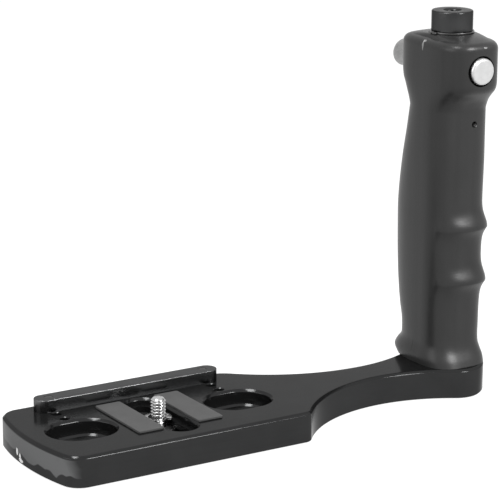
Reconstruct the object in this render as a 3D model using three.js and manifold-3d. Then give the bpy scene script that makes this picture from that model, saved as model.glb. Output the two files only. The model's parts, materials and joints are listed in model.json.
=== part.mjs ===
// A camera tray with an upright handle: a slotted plate with a backstop rail and two pads, a screw that
// slides along the slot and holds the camera, and a moulded grip on a post, with a release button in its
// head that pushes a rod through the post into the end of a cable release.
// Millimetres. X runs along the tray to the handle, Y away from the front edge, Z up.
import * as THREE from 'three';
import { mergeVertices } from 'three/addons/utils/BufferGeometryUtils.js';
import Module from 'manifold-3d';

// Clearances
const fitClearance = 0.3; // round each piece that goes into another
const snugClearance = 0.15; // round the bush, which is pressed in
const cutOverrun = 1; // how far a cut passes the face that it opens

// Tray plate
const plateThickness = 12.7;
const plateWidth = 65;
const plateReach = 59.1; // from the slot to the tip of the free end
const plateEndRadius = 112;
const plateCornerRadius = 8.5;
const plateTopChamfer = 1;
const plateUnderChamfer = 0.4;
const shoulderRadius = 4; // where the front edge turns into the neck
const scoopRadius = 63.5; // of the hollow between the front edge and the foot
const rearShoulderRadius = 17;
const rearScoopRadius = 75; // of the rear hollow, on the tray's side of the neck
const neckWidth = 17;

// Round foot under the handle
const footWidth = 39.6;
const footReach = 16.6; // from the handle's axis to the end of the plate
const footCornerShare = 0.6; // of half the foot's width
const handleOffset = 142.5; // from the slot to the handle's axis

// Slot for the camera screw
const slotTravelFront = 13.3; // from the front edge to the centre of the slot's near end
const slotTravelRear = 20.5; // from the rear edge to the centre of its far end
const slotWidth = 8;
const slotRecessWidth = 13.4;
const slotRecessDepth = 2.8;
const slotRimChamfer = 1;
const channelWidth = 22; // of the channel on the underside, which hides the knob
const channelDepth = 7.5;

// Oval pockets beside the slot
const pocketOffset = 36;
const pocketGap = 0.85; // between its rim and the nearest of the rail's spare holes
const pocketLength = 28.3;
const pocketWidth = 22.6;
const pocketRimChamfer = 1;
const pocketDepth = 5.4;
const pocketLedge = 3;

// Backstop rail and its screws
const railLength = 84.6;
const railThickness = 8.5;
const railHeight = 5.2;
const railChamfer = 0.4;
const railSetback = 3.2; // from the rail to the rear edge of the plate
const railScrewInset = 6.3; // from each end of the rail
const railHolePitch = 6.7; // between the three rows of holes that the rail can be set to
const railHoleRows = 3;
const railScrewRadius = 1.7;
const railScrewHeadRadius = 2.9;
const railScrewHeadHeight = 2.2;
const railScrewSinking = 0.2; // of the screw's end below the top of the rail
const railGrooveWidth = 7;
const railGrooveDepth = 3.4;

// Pads
const padThickness = 0.9;
const padWidth = 11.4;
const padRailGap = 3.7; // between the pads and the rail
const padGap = 15.6; // between the two pads, over the slot
const padFront = 12.8; // from the front edge
const padCornerRadius = 0.8;

// Camera screw, its clip, washer and knob
const screwRest = 31.5; // from the front edge
const screwRadius = 3.1;
const screwRise = 6.3; // of its tip above the plate
const screwTipChamfer = 0.9;
const clipRadius = 5.65;
const clipThickness = 0.8;
const clipGrooveDepth = 0.6;
const clipWindow = 1.3; // width of the two crescent openings
const washerRadius = 8;
const washerThickness = 1;
const knobRadius = 9.5;
const knobLift = 0.5; // of the knob above the underside of the plate
const knobFloor = 1.4;
const knobFluteDepth = 0.4;
const knobFlutes = 30;
const coinSlotWidth = 1.8;
const coinSlotDepth = 0.8;

// Post, a solid bar with a threaded hole in each end
const postRadius = 8.75;
const postTop = 164.5; // above the underside of the plate
const postRecess = 2; // of its foot in the plate
const postTopChamfer = 0.3;
const postHoleRadius = 3.2;
const postHoleDepth = 12;
const postHoleChamfer = 0.6;
const ringGrooveDepth = 0.7;

// Bolt with its washer, and the dowels that keep the grip from turning
const boltRadius = 3.95;
const boltDepthInPost = 16;
const boltHeadRadius = 6.4;
const boltHeadHeight = 4;
const boltWasherRadius = 7.8;
const boltWasherThickness = 1.2;
const boltCounterboreDepth = 6.2;
const boltCounterboreRadius = 8.3;
const dowelRadius = 1.5;
const dowelSpacing = 12;
const dowelSetback = 14.2; // behind the handle's axis
const dowelDepthInPlate = 6;
const dowelDepthInGrip = 8;

// Grip
const gripHeight = 111; // from the plate to the lower edge of the head
const gripHalfWidth = 13.3;
const gripFront = 13; // from the handle's axis
const gripRear = 25.4;
const gripSquareness = 3;
const ridgeHeights = [36.2, 59.8]; // above the plate
const ridgeRise = 4.2;
const ridgeUpperSpread = 5.5; // of the long slope above each crest
const ridgeLowerSpread = 3.2;
const ridgeTurn = 17; // degrees from the front, away from the tray
const gripScrewDrop = 6.1; // below the lower edge of the head
const gripScrewTurn = 14; // degrees from the front, away from the tray
const gripScrewRadius = 1.1;
const gripScrewSinking = 0.8;

// Head of the grip
const headHeight = 26.5; // from the end of the grip to the edge of the crown
const headHalfWidth = 13.9;
const headFront = 21.4;
const headRear = 21.8;
const headSquareness = 4;
const headFrontSquareness = 3.2;
const headEdgeRadius = 3.2;
const crownRise = 4.9; // from the end of the head's upright sides to the ring

// Snap ring that holds the grip down on the post
const ringRadius = 9.4;
const ringThickness = 0.6;
const ringGap = 0.6; // between its ends
const ringLugWidth = 2;
const ringLugReach = 1.2; // beyond the ring

// Release button, its bush, spring and rod
const releaseDrop = 13.4; // of the button's axis below the crown
const buttonRadius = 5.65;
const buttonWall = 1.1;
const buttonFaceThickness = 1.4;
const buttonDome = 1;
const buttonRise = 0.4; // of its edge in front of the bush
const buttonTravel = 3.5; // until its skirt meets the bush
const bushWall = 0.4;
const bushRise = 0.1; // in front of the head
const bushFloorThickness = 1.2;
const bushBacking = 1.2; // of the grip, between the bush and the post
const springWireRadius = 0.4;
const springRadius = 3.4;
const springTurns = 5.5;
const rodRadius = 2;
const rodReach = 13.6; // behind the handle's axis
const rodClipRadius = 3.4;
const rodClipThickness = 0.8;
const rodGrooveDepth = 0.6;

// Cable socket behind the head
const collarRadius = 5.75;
const collarLength = 12.6;
const collarStandOff = 0.6;
const collarEndThickness = 2;
const collarFluteDepth = 0.3;
const collarFlutes = 24;
const nippleSeat = 15.2; // from the handle's axis to its inner end
const nippleSeatRadius = 5.2;
const nippleRadius = 3.8;
const nippleLength = 7.6; // outside the head
const cableBoreRadius = 3;

// Fineness of the round forms
const fineSteps = 32;
const roundSteps = 24;
const smallSteps = 16;
const arcSteps = 6;
const gripSteps = 32;
const gripLevelHeight = 2.8;
const springStepsPerTurn = 8;
const springSides = 5;

// Places that follow from the sizes
const halfWidth = plateWidth / 2;
const handleAxis = new THREE.Vector2(handleOffset, halfWidth);
const slotTravelLength = plateWidth - slotTravelRear - slotTravelFront;
const slotMiddle = slotTravelFront + slotTravelLength / 2;
const plateTop = plateThickness;
const railCentre = plateWidth - railSetback - railThickness / 2;
const railScrewOffset = railLength / 2 - railScrewInset;
const spareHolesDepth = railHolePitch * (railHoleRows - 1);
const spareHolesFront = railCentre - spareHolesDepth - railScrewRadius - fitClearance;
const pocketCentre = spareHolesFront - pocketGap - pocketRimChamfer - pocketWidth / 2;
const padLength = railCentre - railThickness / 2 - padRailGap - padFront;
const recessFloor = plateTop - slotRecessDepth;
const gripTop = plateTop + gripHeight;
const gripScrewHeight = gripTop - gripScrewDrop;
const headTop = gripTop + headHeight;
const ringSeat = headTop + crownRise;
const releaseHeight = ringSeat - releaseDrop;
const postFoot = plateTop - postRecess;
const screwTip = plateTop + screwRise;

const wasm = await Module();
wasm.setup();

// Solids and cuts

function welded(geometry) {
  const bare = geometry.clone();
  bare.deleteAttribute('normal');
  bare.deleteAttribute('uv');
  const merged = mergeVertices(bare);
  const index = merged.index.array;
  const kept = [];
  for (let i = 0; i < index.length; i += 3) {
    const [a, b, c] = [index[i], index[i + 1], index[i + 2]];
    if (a !== b && b !== c && c !== a) kept.push(a, b, c);
  }
  merged.setIndex(kept);
  return merged;
}

function solid(geometry) {
  const { attributes, index } = welded(geometry);
  const vertProperties = new Float32Array(attributes.position.array);
  const triVerts = new Uint32Array(index.array);
  return new wasm.Manifold(new wasm.Mesh({ numProp: 3, vertProperties, triVerts }));
}

function fromSolid(manifold) {
  const { vertProperties, triVerts } = manifold.getMesh();
  const geometry = new THREE.BufferGeometry();
  geometry.setAttribute('position', new THREE.BufferAttribute(vertProperties, 3));
  geometry.setIndex(new THREE.BufferAttribute(triVerts, 1));
  return geometry;
}

function cut(geometry, tools) {
  let body = solid(geometry);
  for (const tool of tools) body = body.subtract(solid(tool));
  return fromSolid(body);
}

// Outlines and the forms made of them

// Points on an arc. Angles in radians, turning either way.
function arc(x, y, radius, from, to, steps = arcSteps) {
  const points = [];
  for (let i = 0; i <= steps; i += 1) {
    const angle = from + ((to - from) * i) / steps;
    points.push(new THREE.Vector2(x + radius * Math.cos(angle), y + radius * Math.sin(angle)));
  }
  return points;
}

// A slot shape about the origin, along X, with round ends.
function stadium(halfStraight, radius) {
  const right = arc(halfStraight, 0, radius, -Math.PI / 2, Math.PI / 2, arcSteps * 2);
  const left = arc(-halfStraight, 0, radius, Math.PI / 2, (Math.PI * 3) / 2, arcSteps * 2);
  return [...right, ...left];
}

function circle(radius, steps = roundSteps) {
  return arc(0, 0, radius, 0, Math.PI * 2, steps).slice(0, steps);
}

// A gear-like outline for a knurled edge.
function fluted(radius, depth, flutes) {
  return circle(radius, flutes * 2).map((point, i) => (i % 2 ? point.setLength(radius - depth) : point));
}

function roundedRectangle(halfLength, halfDepth, radius) {
  const quarter = Math.PI / 2;
  return [
    ...arc(halfLength - radius, halfDepth - radius, radius, 0, quarter, arcSteps / 2),
    ...arc(radius - halfLength, halfDepth - radius, radius, quarter, quarter * 2, arcSteps / 2),
    ...arc(radius - halfLength, radius - halfDepth, radius, quarter * 2, quarter * 3, arcSteps / 2),
    ...arc(halfLength - radius, radius - halfDepth, radius, quarter * 3, quarter * 4, arcSteps / 2),
  ];
}

// A closed form through level outlines of as many points each, from the lowest to the highest.
function stack(levels) {
  const count = levels[0].outline.length;
  const positions = levels.flatMap(({ outline, z }) => outline.flatMap((point) => [point.x, point.y, z]));
  const index = [];
  for (let level = 1; level < levels.length; level += 1) {
    for (let i = 0; i < count; i += 1) {
      const next = (i + 1) % count;
      const [a, b] = [(level - 1) * count + i, (level - 1) * count + next];
      const [c, d] = [level * count + next, level * count + i];
      index.push(a, b, c, a, c, d);
    }
  }
  const last = (levels.length - 1) * count;
  const caps = [levels[0], levels[levels.length - 1]];
  caps.forEach(({ outline }, top) => {
    for (const [a, b, c] of THREE.ShapeUtils.triangulateShape(outline, [])) {
      if (top) index.push(last + a, last + b, last + c);
      else index.push(a, c, b);
    }
  });
  const geometry = new THREE.BufferGeometry();
  geometry.setAttribute('position', new THREE.Float32BufferAttribute(positions, 3));
  geometry.setIndex(index);
  return geometry;
}

function prism(outline, low, high) {
  return stack([{ outline, z: low }, { outline, z: high }]);
}

// A turned form about Z. The profile lists radius and height, counterclockwise, and is closed by the axis
// or on itself.
function turned(profile, steps = roundSteps) {
  const points = profile.map(([radius, height]) => new THREE.Vector2(radius, height));
  return new THREE.LatheGeometry(points, steps).rotateX(Math.PI / 2);
}

function ringProfile(inner, outer, low, high) {
  return [[inner, low], [outer, low], [outer, high], [inner, high], [inner, low]];
}

function rodProfile(radius, low, high, chamfer = 0) {
  return [[0, low], [radius - chamfer, low], [radius, low + chamfer], [radius, high - chamfer],
    [radius - chamfer, high], [0, high]];
}

function roundRod(radius, low, high, steps = smallSteps) {
  return turned([[0, low], [radius, low], [radius, high], [0, high]], steps);
}

// Lays a form that was made along Z so that its length runs along Y, away from the front.
function alongY(geometry) {
  return geometry.rotateX(-Math.PI / 2);
}

// The same, along X, towards the handle's side.
function alongX(geometry) {
  return geometry.rotateY(Math.PI / 2);
}

function atHandle(geometry, z = 0) {
  return geometry.translate(handleAxis.x, handleAxis.y, z);
}

function finish(color, roughness, metalness) {
  return new THREE.MeshStandardMaterial({ color, roughness, metalness });
}

function piece(name, geometry, material) {
  const shape = geometry.index && !geometry.attributes.uv ? geometry : welded(geometry);
  shape.computeVertexNormals();
  const mesh = new THREE.Mesh(shape, material);
  mesh.name = name;
  return mesh;
}

// Finishes
const blackAnodised = () => finish(0x46464a, 0.35, 0.8);
const blackMoulded = () => finish(0x3e3e40, 0.55, 0);
const greyRubber = () => finish(0x66666a, 0.85, 0);
const brightSteel = () => finish(0xd8d8da, 0.25, 1);
const dullSteel = () => finish(0x98989c, 0.45, 0.9);
const blackSteel = () => finish(0x1c1c1e, 0.5, 0.6);
const brass = () => finish(0xb08d4f, 0.4, 0.9);

// Tray plate

// Half of the plate's edge, from the tip of the free end along the front to the end of the foot, about the
// plate's middle line. Every arc is drawn in or out by the inset, so all insets have as many points.
function halfPlateOutline(inset, shoulderRound, hollow) {
  const down = (radius) => -(halfWidth - radius);
  const footHalf = footWidth / 2;
  const footCorner = footHalf * footCornerShare;
  const corner = new THREE.Vector2(0, down(plateCornerRadius));
  const endCentre = plateEndRadius - plateReach;
  corner.x = endCentre - Math.sqrt((plateEndRadius - plateCornerRadius) ** 2 - corner.y ** 2);
  const foot = new THREE.Vector2(handleAxis.x, footCorner - footHalf);
  const scoop = new THREE.Vector2(0, -(neckWidth / 2 + scoopRadius));
  scoop.x = foot.x - Math.sqrt((scoopRadius + footCorner) ** 2 - (foot.y - scoop.y) ** 2);
  const bend = new THREE.Vector2(scoop.x, -(neckWidth / 2 + hollow));
  const shoulder = new THREE.Vector2(0, down(shoulderRound));
  shoulder.x = bend.x - Math.sqrt((hollow + shoulderRound) ** 2 - (shoulder.y - bend.y) ** 2);
  const tipRadius = (footCorner ** 2 - footReach ** 2 - foot.y ** 2) / (2 * (footCorner - footReach));
  const tipCentre = handleAxis.x + footReach - tipRadius;
  const endTurn = Math.atan2(corner.y, corner.x - endCentre);
  const shoulderTurn = Math.atan2(bend.y - shoulder.y, bend.x - shoulder.x);
  const footTurn = Math.atan2(foot.y - scoop.y, foot.x - scoop.x);
  const tipTurn = Math.atan2(foot.y, foot.x - tipCentre);
  return [
    ...arc(endCentre, 0, plateEndRadius - inset, -Math.PI, endTurn),
    ...arc(corner.x, corner.y, plateCornerRadius - inset, endTurn, -Math.PI / 2),
    ...arc(shoulder.x, shoulder.y, shoulderRound - inset, -Math.PI / 2, shoulderTurn),
    ...arc(bend.x, bend.y, hollow + inset, shoulderTurn + Math.PI, Math.PI / 2).slice(1),
    ...arc(scoop.x, scoop.y, scoopRadius + inset, Math.PI / 2, footTurn).slice(1),
    ...arc(foot.x, foot.y, footCorner - inset, footTurn - Math.PI, tipTurn).slice(1),
    ...arc(tipCentre, 0, tipRadius - inset, tipTurn, 0).slice(1),
  ];
}

function plateOutline(inset) {
  const front = halfPlateOutline(inset, shoulderRadius, scoopRadius);
  const rear = halfPlateOutline(inset, rearShoulderRadius, rearScoopRadius);
  const mirrored = rear.slice(1, -1).reverse().map((point) => new THREE.Vector2(point.x, -point.y));
  return [...front, ...mirrored].map((point) => point.add(new THREE.Vector2(0, halfWidth)));
}

function slotForm(width, low, high, flare = 0) {
  const half = slotTravelLength / 2;
  const radius = width / 2;
  const levels = [{ outline: stadium(half, radius), z: low }, { outline: stadium(half, radius), z: high }];
  if (flare) levels.push({ outline: stadium(half, radius + flare), z: high + flare });
  return stack(levels).rotateZ(Math.PI / 2).translate(0, slotMiddle, 0);
}

function pocketForm(inset, low, high, flare = 0) {
  const half = (pocketLength - pocketWidth) / 2;
  const radius = pocketWidth / 2 - inset;
  const levels = [{ outline: stadium(half, radius), z: low }, { outline: stadium(half, radius), z: high }];
  if (flare) levels.push({ outline: stadium(half, radius + flare), z: high + flare });
  return stack(levels).translate(0, pocketCentre, 0);
}

// What is cut from the plate on one side of the slot.
function sideCuts(side) {
  const groove = prism(stadium(spareHolesDepth / 2, railGrooveWidth / 2), -cutOverrun, railGrooveDepth)
    .rotateZ(Math.PI / 2).translate(0, railCentre - spareHolesDepth / 2, 0);
  const holes = Array.from({ length: railHoleRows }, (_, row) => roundRod(
    railScrewRadius + fitClearance, -cutOverrun, plateTop + cutOverrun,
  ).translate(0, railCentre - railHolePitch * row, 0));
  const flare = pocketRimChamfer + cutOverrun;
  const pocket = pocketForm(0, plateTop - pocketDepth, plateTop - pocketRimChamfer, flare);
  const pocketFloor = pocketForm(pocketLedge, -cutOverrun, plateTop - pocketDepth + cutOverrun);
  const atScrews = [groove, ...holes].map((form) => form.translate(side * railScrewOffset, 0, 0));
  const atPocket = [pocket, pocketFloor].map((form) => form.translate(side * pocketOffset, 0, 0));
  return [...atScrews, ...atPocket];
}

function dowelPlaces() {
  return [-1, 1].map((side) => new THREE.Vector2(
    handleAxis.x + (side * dowelSpacing) / 2, handleAxis.y + dowelSetback,
  ));
}

function trayPlate() {
  const body = stack([
    { outline: plateOutline(plateUnderChamfer), z: 0 },
    { outline: plateOutline(0), z: plateUnderChamfer },
    { outline: plateOutline(0), z: plateTop - plateTopChamfer },
    { outline: plateOutline(plateTopChamfer), z: plateTop },
  ]);
  const flare = slotRimChamfer + cutOverrun;
  const dowelHoles = dowelPlaces().map(({ x, y }) => roundRod(
    dowelRadius + fitClearance, plateTop - dowelDepthInPlate, plateTop + cutOverrun,
  ).translate(x, y, 0));
  return piece('tray_plate', cut(body, [
    slotForm(slotRecessWidth, recessFloor, plateTop - slotRimChamfer, flare),
    slotForm(slotWidth, -cutOverrun, recessFloor + cutOverrun),
    slotForm(channelWidth, -cutOverrun, channelDepth),
    ...sideCuts(-1),
    ...sideCuts(1),
    atHandle(roundRod(boltCounterboreRadius, -cutOverrun, boltCounterboreDepth, roundSteps)),
    atHandle(roundRod(boltRadius + fitClearance, -cutOverrun, plateTop + cutOverrun)),
    atHandle(roundRod(postRadius + fitClearance, postFoot, plateTop + cutOverrun, roundSteps)),
    ...dowelHoles,
  ]), blackAnodised());
}

// Backstop rail, its screws and the pads

function backstopRail() {
  const half = (railLength - railThickness) / 2;
  const radius = railThickness / 2;
  const top = plateTop + railHeight;
  const body = stack([
    { outline: stadium(half, radius), z: plateTop },
    { outline: stadium(half, radius), z: top - railChamfer },
    { outline: stadium(half, radius - railChamfer), z: top },
  ]);
  const holes = [-1, 1].map((side) => roundRod(
    railScrewRadius + fitClearance, plateTop - cutOverrun, top + cutOverrun,
  ).translate(side * railScrewOffset, 0, 0));
  return piece('backstop_rail', cut(body, holes).translate(0, railCentre, 0), blackAnodised());
}

function railScrew(name, side) {
  const head = railGrooveDepth - railScrewHeadHeight;
  const top = plateTop + railHeight - railScrewSinking;
  const body = turned([
    [0, head], [railScrewHeadRadius, head], [railScrewHeadRadius, railGrooveDepth],
    [railScrewRadius, railGrooveDepth], [railScrewRadius, top], [0, top],
  ], smallSteps);
  const socket = prism(circle(railScrewRadius, 6), head - cutOverrun, head + railScrewHeadHeight / 2);
  return piece(name, cut(body, [socket]).translate(side * railScrewOffset, railCentre, 0), blackSteel());
}

function pad(name, side) {
  const outline = roundedRectangle(padWidth / 2, padLength / 2, padCornerRadius);
  const shape = prism(outline, plateTop, plateTop + padThickness);
  const x = side * (padGap + padWidth) / 2;
  return piece(name, shape.translate(x, padFront + padLength / 2, 0), greyRubber());
}

// Camera screw with its clip, washer and knob, standing in the slot

const washerTop = channelDepth - fitClearance;
const knobTop = washerTop - washerThickness;
const clipBottom = recessFloor + fitClearance;

function cameraScrew() {
  const foot = knobLift + knobFloor + fitClearance;
  const neck = screwRadius - clipGrooveDepth;
  const grooveLow = clipBottom - fitClearance / 2;
  const grooveHigh = clipBottom + clipThickness + fitClearance;
  const shape = turned([
    [0, foot], [screwRadius, foot], [screwRadius, grooveLow], [neck, grooveLow], [neck, grooveHigh],
    [screwRadius, grooveHigh], [screwRadius, screwTip - screwTipChamfer],
    [screwRadius - screwTipChamfer, screwTip], [0, screwTip],
  ], smallSteps);
  return piece('camera_screw', shape.translate(0, screwRest, 0), brightSteel());
}

// Where the clip's inner edge changes between lug and crescent: shares of the way round from its mouth.
const clipLugShares = [0, 0.16, 0.44, 0.56, 0.84, 1];

// The clip's three inner lugs hold the groove and leave two crescent openings between them.
function cameraScrewClip() {
  const lug = screwRadius - clipGrooveDepth + fitClearance;
  const crescent = lug + clipWindow;
  const mouth = Math.PI / 5;
  const turnAt = (share) => THREE.MathUtils.lerp(mouth, Math.PI * 2 - mouth, share);
  const inner = clipLugShares.slice(1).flatMap((share, i) => arc(
    0, 0, i % 2 ? crescent : lug, turnAt(clipLugShares[i]), turnAt(share),
  ));
  const outline = [...arc(0, 0, clipRadius, turnAt(0), turnAt(1), arcSteps * 4), ...inner.reverse()];
  const shape = prism(outline, clipBottom, clipBottom + clipThickness);
  return piece('camera_screw_clip', shape.rotateZ(-Math.PI / 2).translate(0, screwRest, 0), dullSteel());
}

function cameraScrewWasher() {
  const profile = ringProfile(screwRadius + fitClearance, washerRadius, knobTop + fitClearance, washerTop);
  return piece('camera_screw_washer', turned(profile).translate(0, screwRest, 0), dullSteel());
}

function cameraScrewKnob() {
  const rim = fluted(knobRadius, knobFluteDepth, knobFlutes);
  const edge = circle(knobRadius - knobFluteDepth * 2, knobFlutes * 2);
  const body = stack([
    { outline: edge, z: knobLift },
    { outline: rim, z: knobLift + knobFluteDepth * 2 },
    { outline: rim, z: knobTop - knobFluteDepth * 2 },
    { outline: edge, z: knobTop },
  ]);
  const bore = roundRod(screwRadius + fitClearance, knobLift + knobFloor, knobTop + cutOverrun);
  const slotHalf = knobRadius + cutOverrun;
  const coinSlot = prism(
    roundedRectangle(slotHalf, coinSlotWidth / 2, coinSlotWidth / 2), knobLift - cutOverrun,
    knobLift + coinSlotDepth,
  );
  return piece('camera_screw_knob', cut(body, [bore, coinSlot]).translate(0, screwRest, 0), blackAnodised());
}

// Post with its bolt and the dowels beside it

const ringLow = ringSeat + fitClearance;
const ringInner = postRadius - ringGrooveDepth + fitClearance;

function handlePost() {
  const groove = postRadius - ringGrooveDepth;
  const grooveHigh = ringLow + ringThickness + fitClearance;
  const boltHole = boltRadius + fitClearance;
  const boltHoleTop = postFoot + boltDepthInPost;
  const body = turned([
    [0, boltHoleTop], [boltHole, boltHoleTop], [boltHole, postFoot], [postRadius, postFoot],
    [postRadius, ringSeat], [groove, ringSeat], [groove, grooveHigh], [postRadius, grooveHigh],
    [postRadius, postTop - postTopChamfer], [postRadius - postTopChamfer, postTop],
    [postHoleRadius + postHoleChamfer, postTop], [postHoleRadius, postTop - postHoleChamfer],
    [postHoleRadius, postTop - postHoleDepth], [0, postTop - postHoleDepth],
  ], fineSteps);
  const reach = postRadius + cutOverrun;
  const rodHole = alongY(roundRod(rodRadius + fitClearance, -reach, reach)).translate(0, 0, releaseHeight);
  return piece('handle_post', atHandle(cut(body, [rodHole])), blackAnodised());
}

function handleBolt() {
  const seat = boltCounterboreDepth - boltWasherThickness;
  const head = seat - boltHeadHeight;
  const tip = postFoot + boltDepthInPost - cutOverrun;
  const body = turned([
    [0, head], [boltHeadRadius, head], [boltHeadRadius, seat],
    [boltRadius, seat], [boltRadius, tip], [0, tip],
  ], roundSteps);
  const socket = prism(circle(boltRadius, 6), head - cutOverrun, head + boltHeadHeight / 2);
  return piece('handle_bolt', atHandle(cut(body, [socket])), blackSteel());
}

function handleBoltWasher() {
  const low = boltCounterboreDepth - boltWasherThickness;
  const profile = ringProfile(boltRadius + fitClearance, boltWasherRadius, low, boltCounterboreDepth);
  return piece('handle_bolt_washer', atHandle(turned(profile)), dullSteel());
}

function dowel(name, place) {
  const low = plateTop - dowelDepthInPlate + fitClearance;
  const high = plateTop + dowelDepthInGrip - fitClearance;
  const shape = turned(rodProfile(dowelRadius, low, high, fitClearance), smallSteps);
  return piece(name, shape.translate(place.x, place.y, 0), dullSteel());
}

// An open ring in the post's groove, whose two lugs face the tray.
function gripSnapRing() {
  const gapTurn = ringGap / 2 / ringRadius;
  const lugTurn = gapTurn + ringLugWidth / ringRadius;
  const lugRadius = ringRadius + ringLugReach;
  const around = Math.PI * 2;
  const outline = [
    ...arc(0, 0, ringRadius, lugTurn, around - lugTurn, fineSteps),
    ...arc(0, 0, lugRadius, around - lugTurn, around - gapTurn, 2),
    ...arc(0, 0, ringInner, around - gapTurn, gapTurn, fineSteps),
    ...arc(0, 0, lugRadius, gapTurn, lugTurn, 2),
  ];
  const shape = prism(outline, ringLow, ringLow + ringThickness).rotateZ(Math.PI);
  return piece('grip_snap_ring', atHandle(shape), dullSteel());
}

// Grip and its head

// How the grip grows and shrinks from the plate to the head: shares of its height, of its half width, and
// of its reach to the front and to the rear.
const gripShares = [
  [0, 1.1, 1.3, 0.87],
  [0.025, 1.1, 1.21, 0.985],
  [0.05, 1.05, 1.09, 0.935],
  [0.075, 1, 1.01, 0.83],
  [0.1, 1, 0.97, 0.81],
  [0.15, 1.01, 0.96, 0.82],
  [0.2, 1.02, 0.95, 0.88],
  [0.3, 1.03, 0.97, 0.955],
  [0.4, 1.035, 0.98, 0.995],
  [0.5, 1.035, 0.98, 1.015],
  [0.6, 1.02, 0.985, 1.03],
  [0.7, 1.03, 0.995, 0.975],
  [0.8, 1.04, 1.01, 0.885],
  [0.9, 1.035, 1.01, 0.775],
  [1, 1.035, 1.01, 0.67],
];

// How the section grows from the grip's to the head's: shares of the head's height, and of the growth to
// the front and to the rear.
const headShares = [
  [0, 0, 0],
  [0.05, 0.07, 0.06],
  [0.15, 0.25, 0.24],
  [0.24, 0.53, 0.43],
  [0.34, 0.87, 0.63],
  [0.42, 0.98, 0.83],
  [0.55, 1, 0.97],
  [0.72, 1, 1],
  [1, 1, 1],
];

// How the top edge rounds off: shares of the edge's radius, inwards and upwards.
const edgeShares = [[0.06, 0.32], [0.24, 0.64], [0.55, 0.89], [1, 1.04]];

// How the crown rises from that edge to the ring: shares of the way inwards and upwards.
const crownShares = [[0.3, 0.42], [0.65, 0.8], [1, 1]];

function interpolant(rows) {
  const places = rows.map((row) => row[0]);
  const values = rows.flatMap((row) => row.slice(1));
  return new THREE.CubicInterpolant(places, values, rows[0].length - 1);
}

// A section of the grip about the handle's axis: an oval with flattened sides.
function section({ width, front, rear, frontSquareness, rearSquareness }) {
  return circle(1, gripSteps).map(({ x, y }) => {
    const [reach, squareness] = y < 0 ? [front, frontSquareness] : [rear, rearSquareness];
    const power = (value) => Math.sign(value) * Math.abs(value) ** (2 / squareness);
    return new THREE.Vector2(width * power(x), reach * power(y));
  });
}

// The ridges have faded out where this share of the turn away from their middle, in radians, reaches one.
const ridgeFadeShare = 0.78;

// The two finger ridges swell the front of the grip and fade out round its sides.
function withRidges(outline, height) {
  const middle = THREE.MathUtils.degToRad(ridgeTurn - 90);
  const rise = ridgeHeights.reduce((sum, at) => {
    const spread = height > at ? ridgeUpperSpread : ridgeLowerSpread;
    return sum + Math.exp(-(((height - at) / spread) ** 2));
  }, 0);
  return outline.map((point) => {
    const away = Math.abs(Math.atan2(Math.sin(point.angle() - middle), Math.cos(point.angle() - middle)));
    const facing = Math.cos(Math.min(away * ridgeFadeShare, 1) * (Math.PI / 2));
    return point.setLength(point.length() + ridgeRise * rise * facing ** 2);
  });
}

// Evenly spaced heights from the plate to the head, with one at each crest.
function gripHeights() {
  const stations = [0, ...ridgeHeights, gripHeight];
  const between = (from, to) => {
    const steps = Math.ceil((to - from) / gripLevelHeight);
    return Array.from({ length: steps }, (_, step) => THREE.MathUtils.lerp(from, to, (step + 1) / steps));
  };
  return [0, ...stations.slice(1).flatMap((to, i) => between(stations[i], to))];
}

function gripSectionLevels() {
  const along = interpolant(gripShares);
  return gripHeights().map((height) => {
    const [width, front, rear] = along.evaluate(height / gripHeight);
    const outline = section({
      width: width * gripHalfWidth,
      front: front * gripFront,
      rear: rear * gripRear,
      frontSquareness: gripSquareness,
      rearSquareness: gripSquareness,
    });
    return { outline: withRidges(outline, height), z: plateTop + height };
  });
}

function headSection(frontGrowth, rearGrowth, inset = 0) {
  const { lerp } = THREE.MathUtils;
  const endShares = gripShares[gripShares.length - 1];
  return {
    width: lerp(gripHalfWidth * endShares[1], headHalfWidth, frontGrowth) - inset,
    front: lerp(gripFront * endShares[2], headFront, frontGrowth) - inset,
    rear: lerp(gripRear * endShares[3], headRear, rearGrowth) - inset,
    frontSquareness: lerp(gripSquareness, headFrontSquareness, frontGrowth),
    rearSquareness: lerp(gripSquareness, headSquareness, rearGrowth),
  };
}

function headLevels() {
  return headShares.slice(1).map(([share, front, rear]) => ({
    outline: section(headSection(front, rear)), z: gripTop + headHeight * share,
  }));
}

function crownLevels() {
  const { lerp } = THREE.MathUtils;
  const edge = edgeShares.map(([inwards, upwards]) => ({
    outline: section(headSection(1, 1, headEdgeRadius * inwards)), z: headTop + headEdgeRadius * upwards,
  }));
  const rim = edge[edge.length - 1].z;
  const shoulder = headSection(1, 1, headEdgeRadius);
  const seat = ringRadius + fitClearance;
  const crown = crownShares.map(([inwards, upwards]) => ({
    outline: section({
      width: lerp(shoulder.width, seat, inwards),
      front: lerp(shoulder.front, seat, inwards),
      rear: lerp(shoulder.rear, seat, inwards),
      frontSquareness: lerp(shoulder.frontSquareness, 2, inwards),
      rearSquareness: lerp(shoulder.rearSquareness, 2, inwards),
    }),
    z: lerp(rim, ringSeat, upwards),
  }));
  return [...edge, ...crown];
}

const bushRadius = buttonRadius + fitClearance + bushWall;
const bushFront = -(headFront + bushRise);
const bushBack = -(postRadius + fitClearance + bushBacking);
const gripScrewAngle = THREE.MathUtils.degToRad(gripScrewTurn - 90);

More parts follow.
